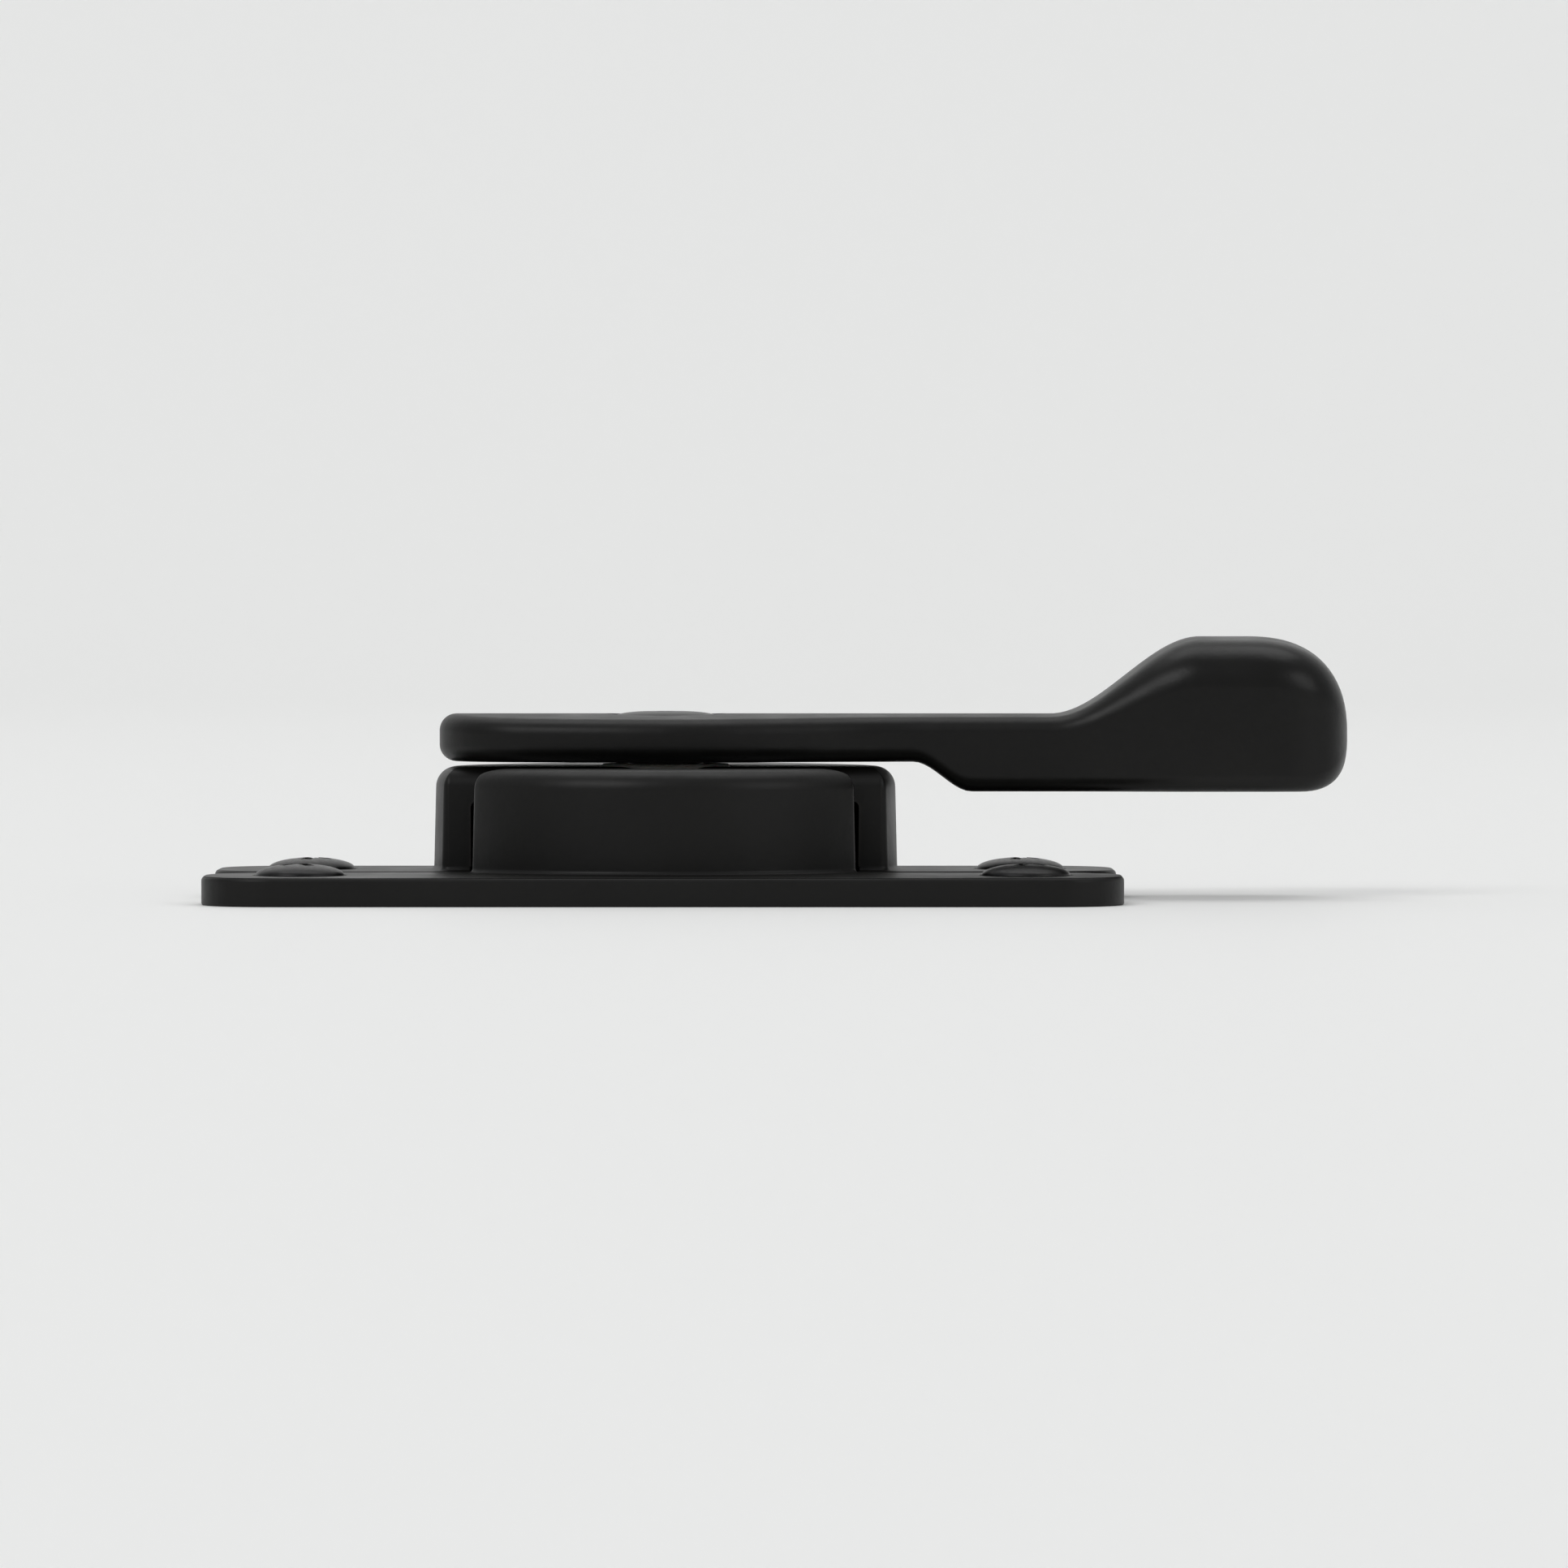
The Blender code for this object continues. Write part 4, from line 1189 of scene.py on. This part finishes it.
def makeLeaf():
    low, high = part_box("detent_spring")
    inside, outside = inner["leafOut"]
    middle, half = (low[2] + high[2]) / 2, (high[2] - low[2]) / 2
    length, corner, count = inner["leafHalf"], inner["leafCorner"], inner["leafSteps"]
    rings = []
    for i in range(count + 1):
        along = -length * cos(pi * i / count)
        bow = inner["leafBow"] * cos(quarterTurn * along / length) ** 2
        left = max(0.0, corner - (length - abs(along))) / corner
        tall = half - corner * (1 - sqrt(1 - left * left))
        section = ((inside, -tall), (outside, -tall), (outside, tall), (inside, tall))
        rings.append([(*atSpring(out - bow, along), middle + z) for out, z in section])
    piece = makeObject("detentLeaf", loft(rings))
    softenEdges(piece, inner["thinEdge"], 2)
    bake(piece)
    place(piece, springSteel, "fixed", "spring_steel", "detent_spring")


def makeWasher(name, node, waves):
    low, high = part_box(node)
    lift = inner["waveHeight"] if waves else 0.0
    bottom, top = low[2] + lift, high[2] - lift
    bore, outer, cut = inner["washerBore"], high[0], inner["washerEdge"]
    profile = [
        (bore, top - cut), (bore, bottom + cut), (bore + cut, bottom), (outer - cut, bottom),
        (outer, bottom + cut), (outer, top - cut), (outer - cut, top), (bore + cut, top),
    ]
    rings = []
    for radius, z in profile:
        ring = circleRing(radius, z, inner["washerSteps"])
        rings.append([(x, y, h + lift * cos(waves * atan2(y, x))) for x, y, h in ring])
    piece = makeObject(name, loft(rings, closed=True))
    place(piece, springSteel, "lever", "spring_steel", node)


def makeClip():
    low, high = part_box("retaining_clip")
    first, last = inner["clipOpening"], 2 * pi - inner["clipOpening"]
    count, relief = inner["clipSteps"], inner["clipRelief"]
    lugStart, lugEnd = [inner["clipLug"] * share for share in inner["clipLugEase"]]

    def outlineAt(inset):
        start, end = first + inset / high[1], last - inset / high[1]
        outline = arcPoints(high[1] - inset, start, end, count)
        for i in range(count, -1, -1):
            a = start + (end - start) * i / count
            near = min(abs(a - quarterTurn * k) for k in (1, 2, 3))
            inward = 1 - ease(near, lugStart, lugEnd)
            radius = relief + (inner["clipGrip"] - relief) * inward
            outline.append(((radius + inset) * cos(a), (radius + inset) * sin(a)))
        return outline

    profile = roundedProfile(low[2], high[2], inner["thinEdge"], 2)
    piece = makeObject("snapRing", stackedBody(outlineAt, profile))
    place(piece, springSteel, "lever", "spring_steel", "retaining_clip")


makeCam()
makeBush()
makeLeaf()
makeWasher("waveWasher", "wave_washer", inner["waves"])
makeWasher("thrustWasher", "thrust_washer", 0)
makeClip()

# plain pale floor that rises into a backdrop, three softboxes and a long lens
studio = {
    "floorColour": (0.88, 0.88, 0.87),
    "floorRoughness": 0.6,
    "halfWidth": 3.0,
    "front": -3.0,
    "back": 1.2,
    "sweep": 0.6,
    "sweepSteps": 24,
    "height": 2.4,
    "softboxes": (  # name, place, width and height, watts
        ("keySoftbox", (-1.7, -2.2, 2.3), (2.1, 1.5), 34.0),
        ("fillSoftbox", (2.3, -1.6, 1.4), (1.5, 1.5), 12.0),
        ("topSoftbox", (0.1, 0.6, 2.7), (2.7, 1.6), 24.0),
    ),
    "worldColour": (0.97, 0.985, 1.0, 1.0),
    "worldStrength": 0.42,
    "lens": 200.0,
    "clipStart": 0.01,
    "elevation": radians(1.2),
    "frameWidth": 0.122,
    "aim": (0.0092, 0.0, 0.0088),
}


def makeFloor():
    profile = [(studio["front"], 0.0), (studio["back"], 0.0)]
    centre = (studio["back"], studio["sweep"])
    profile += arcPoints(studio["sweep"], -quarterTurn, 0, studio["sweepSteps"], centre)[1:]
    profile.append((studio["back"] + studio["sweep"], studio["height"]))
    bm = bmesh.new()
    rows = [
        [bm.verts.new((side * studio["halfWidth"], y, z)) for y, z in profile] for side in (-1, 1)
    ]
    for i in range(len(profile) - 1):
        bm.faces.new((rows[0][i], rows[1][i], rows[1][i + 1], rows[0][i + 1]))
    floor = makeObject("floor", bm)
    floor.data.shade_smooth()
    material, _, shader, _ = newMaterial("paleFloor")
    shader.inputs["Base Color"].default_value = (*studio["floorColour"], 1.0)
    shader.inputs["Roughness"].default_value = studio["floorRoughness"]
    floor.data.materials.append(material)


def aimFrom(item, spot):
    item.location = spot
    line = Vector(studio["aim"]) - Vector(spot)
    item.rotation_euler = line.to_track_quat("-Z", "Y").to_euler()
    scene.collection.objects.link(item)


def makeLights():
    for name, spot, size, watts in studio["softboxes"]:
        light = bpy.data.lights.new(name, "AREA")
        light.shape = "RECTANGLE"
        light.size, light.size_y = size
        light.energy = watts
        aimFrom(bpy.data.objects.new(name, light), spot)
    world = bpy.data.worlds.new("studioWorld")
    world.use_nodes = True
    background = world.node_tree.nodes["Background"]
    background.inputs["Color"].default_value = studio["worldColour"]
    background.inputs["Strength"].default_value = studio["worldStrength"]
    scene.world = world


def makeCamera():
    data = bpy.data.cameras.new("camera")
    data.lens = studio["lens"]
    data.clip_start = studio["clipStart"]
    distance = studio["frameWidth"] * studio["lens"] / data.sensor_width
    lift = studio["elevation"]
    away = Vector((0, -cos(lift), sin(lift)))
    camera = bpy.data.objects.new("camera", data)
    aimFrom(camera, Vector(studio["aim"]) + distance * away)
    scene.camera = camera


makeFloor()
makeLights()
makeCamera()
print("studio ready")
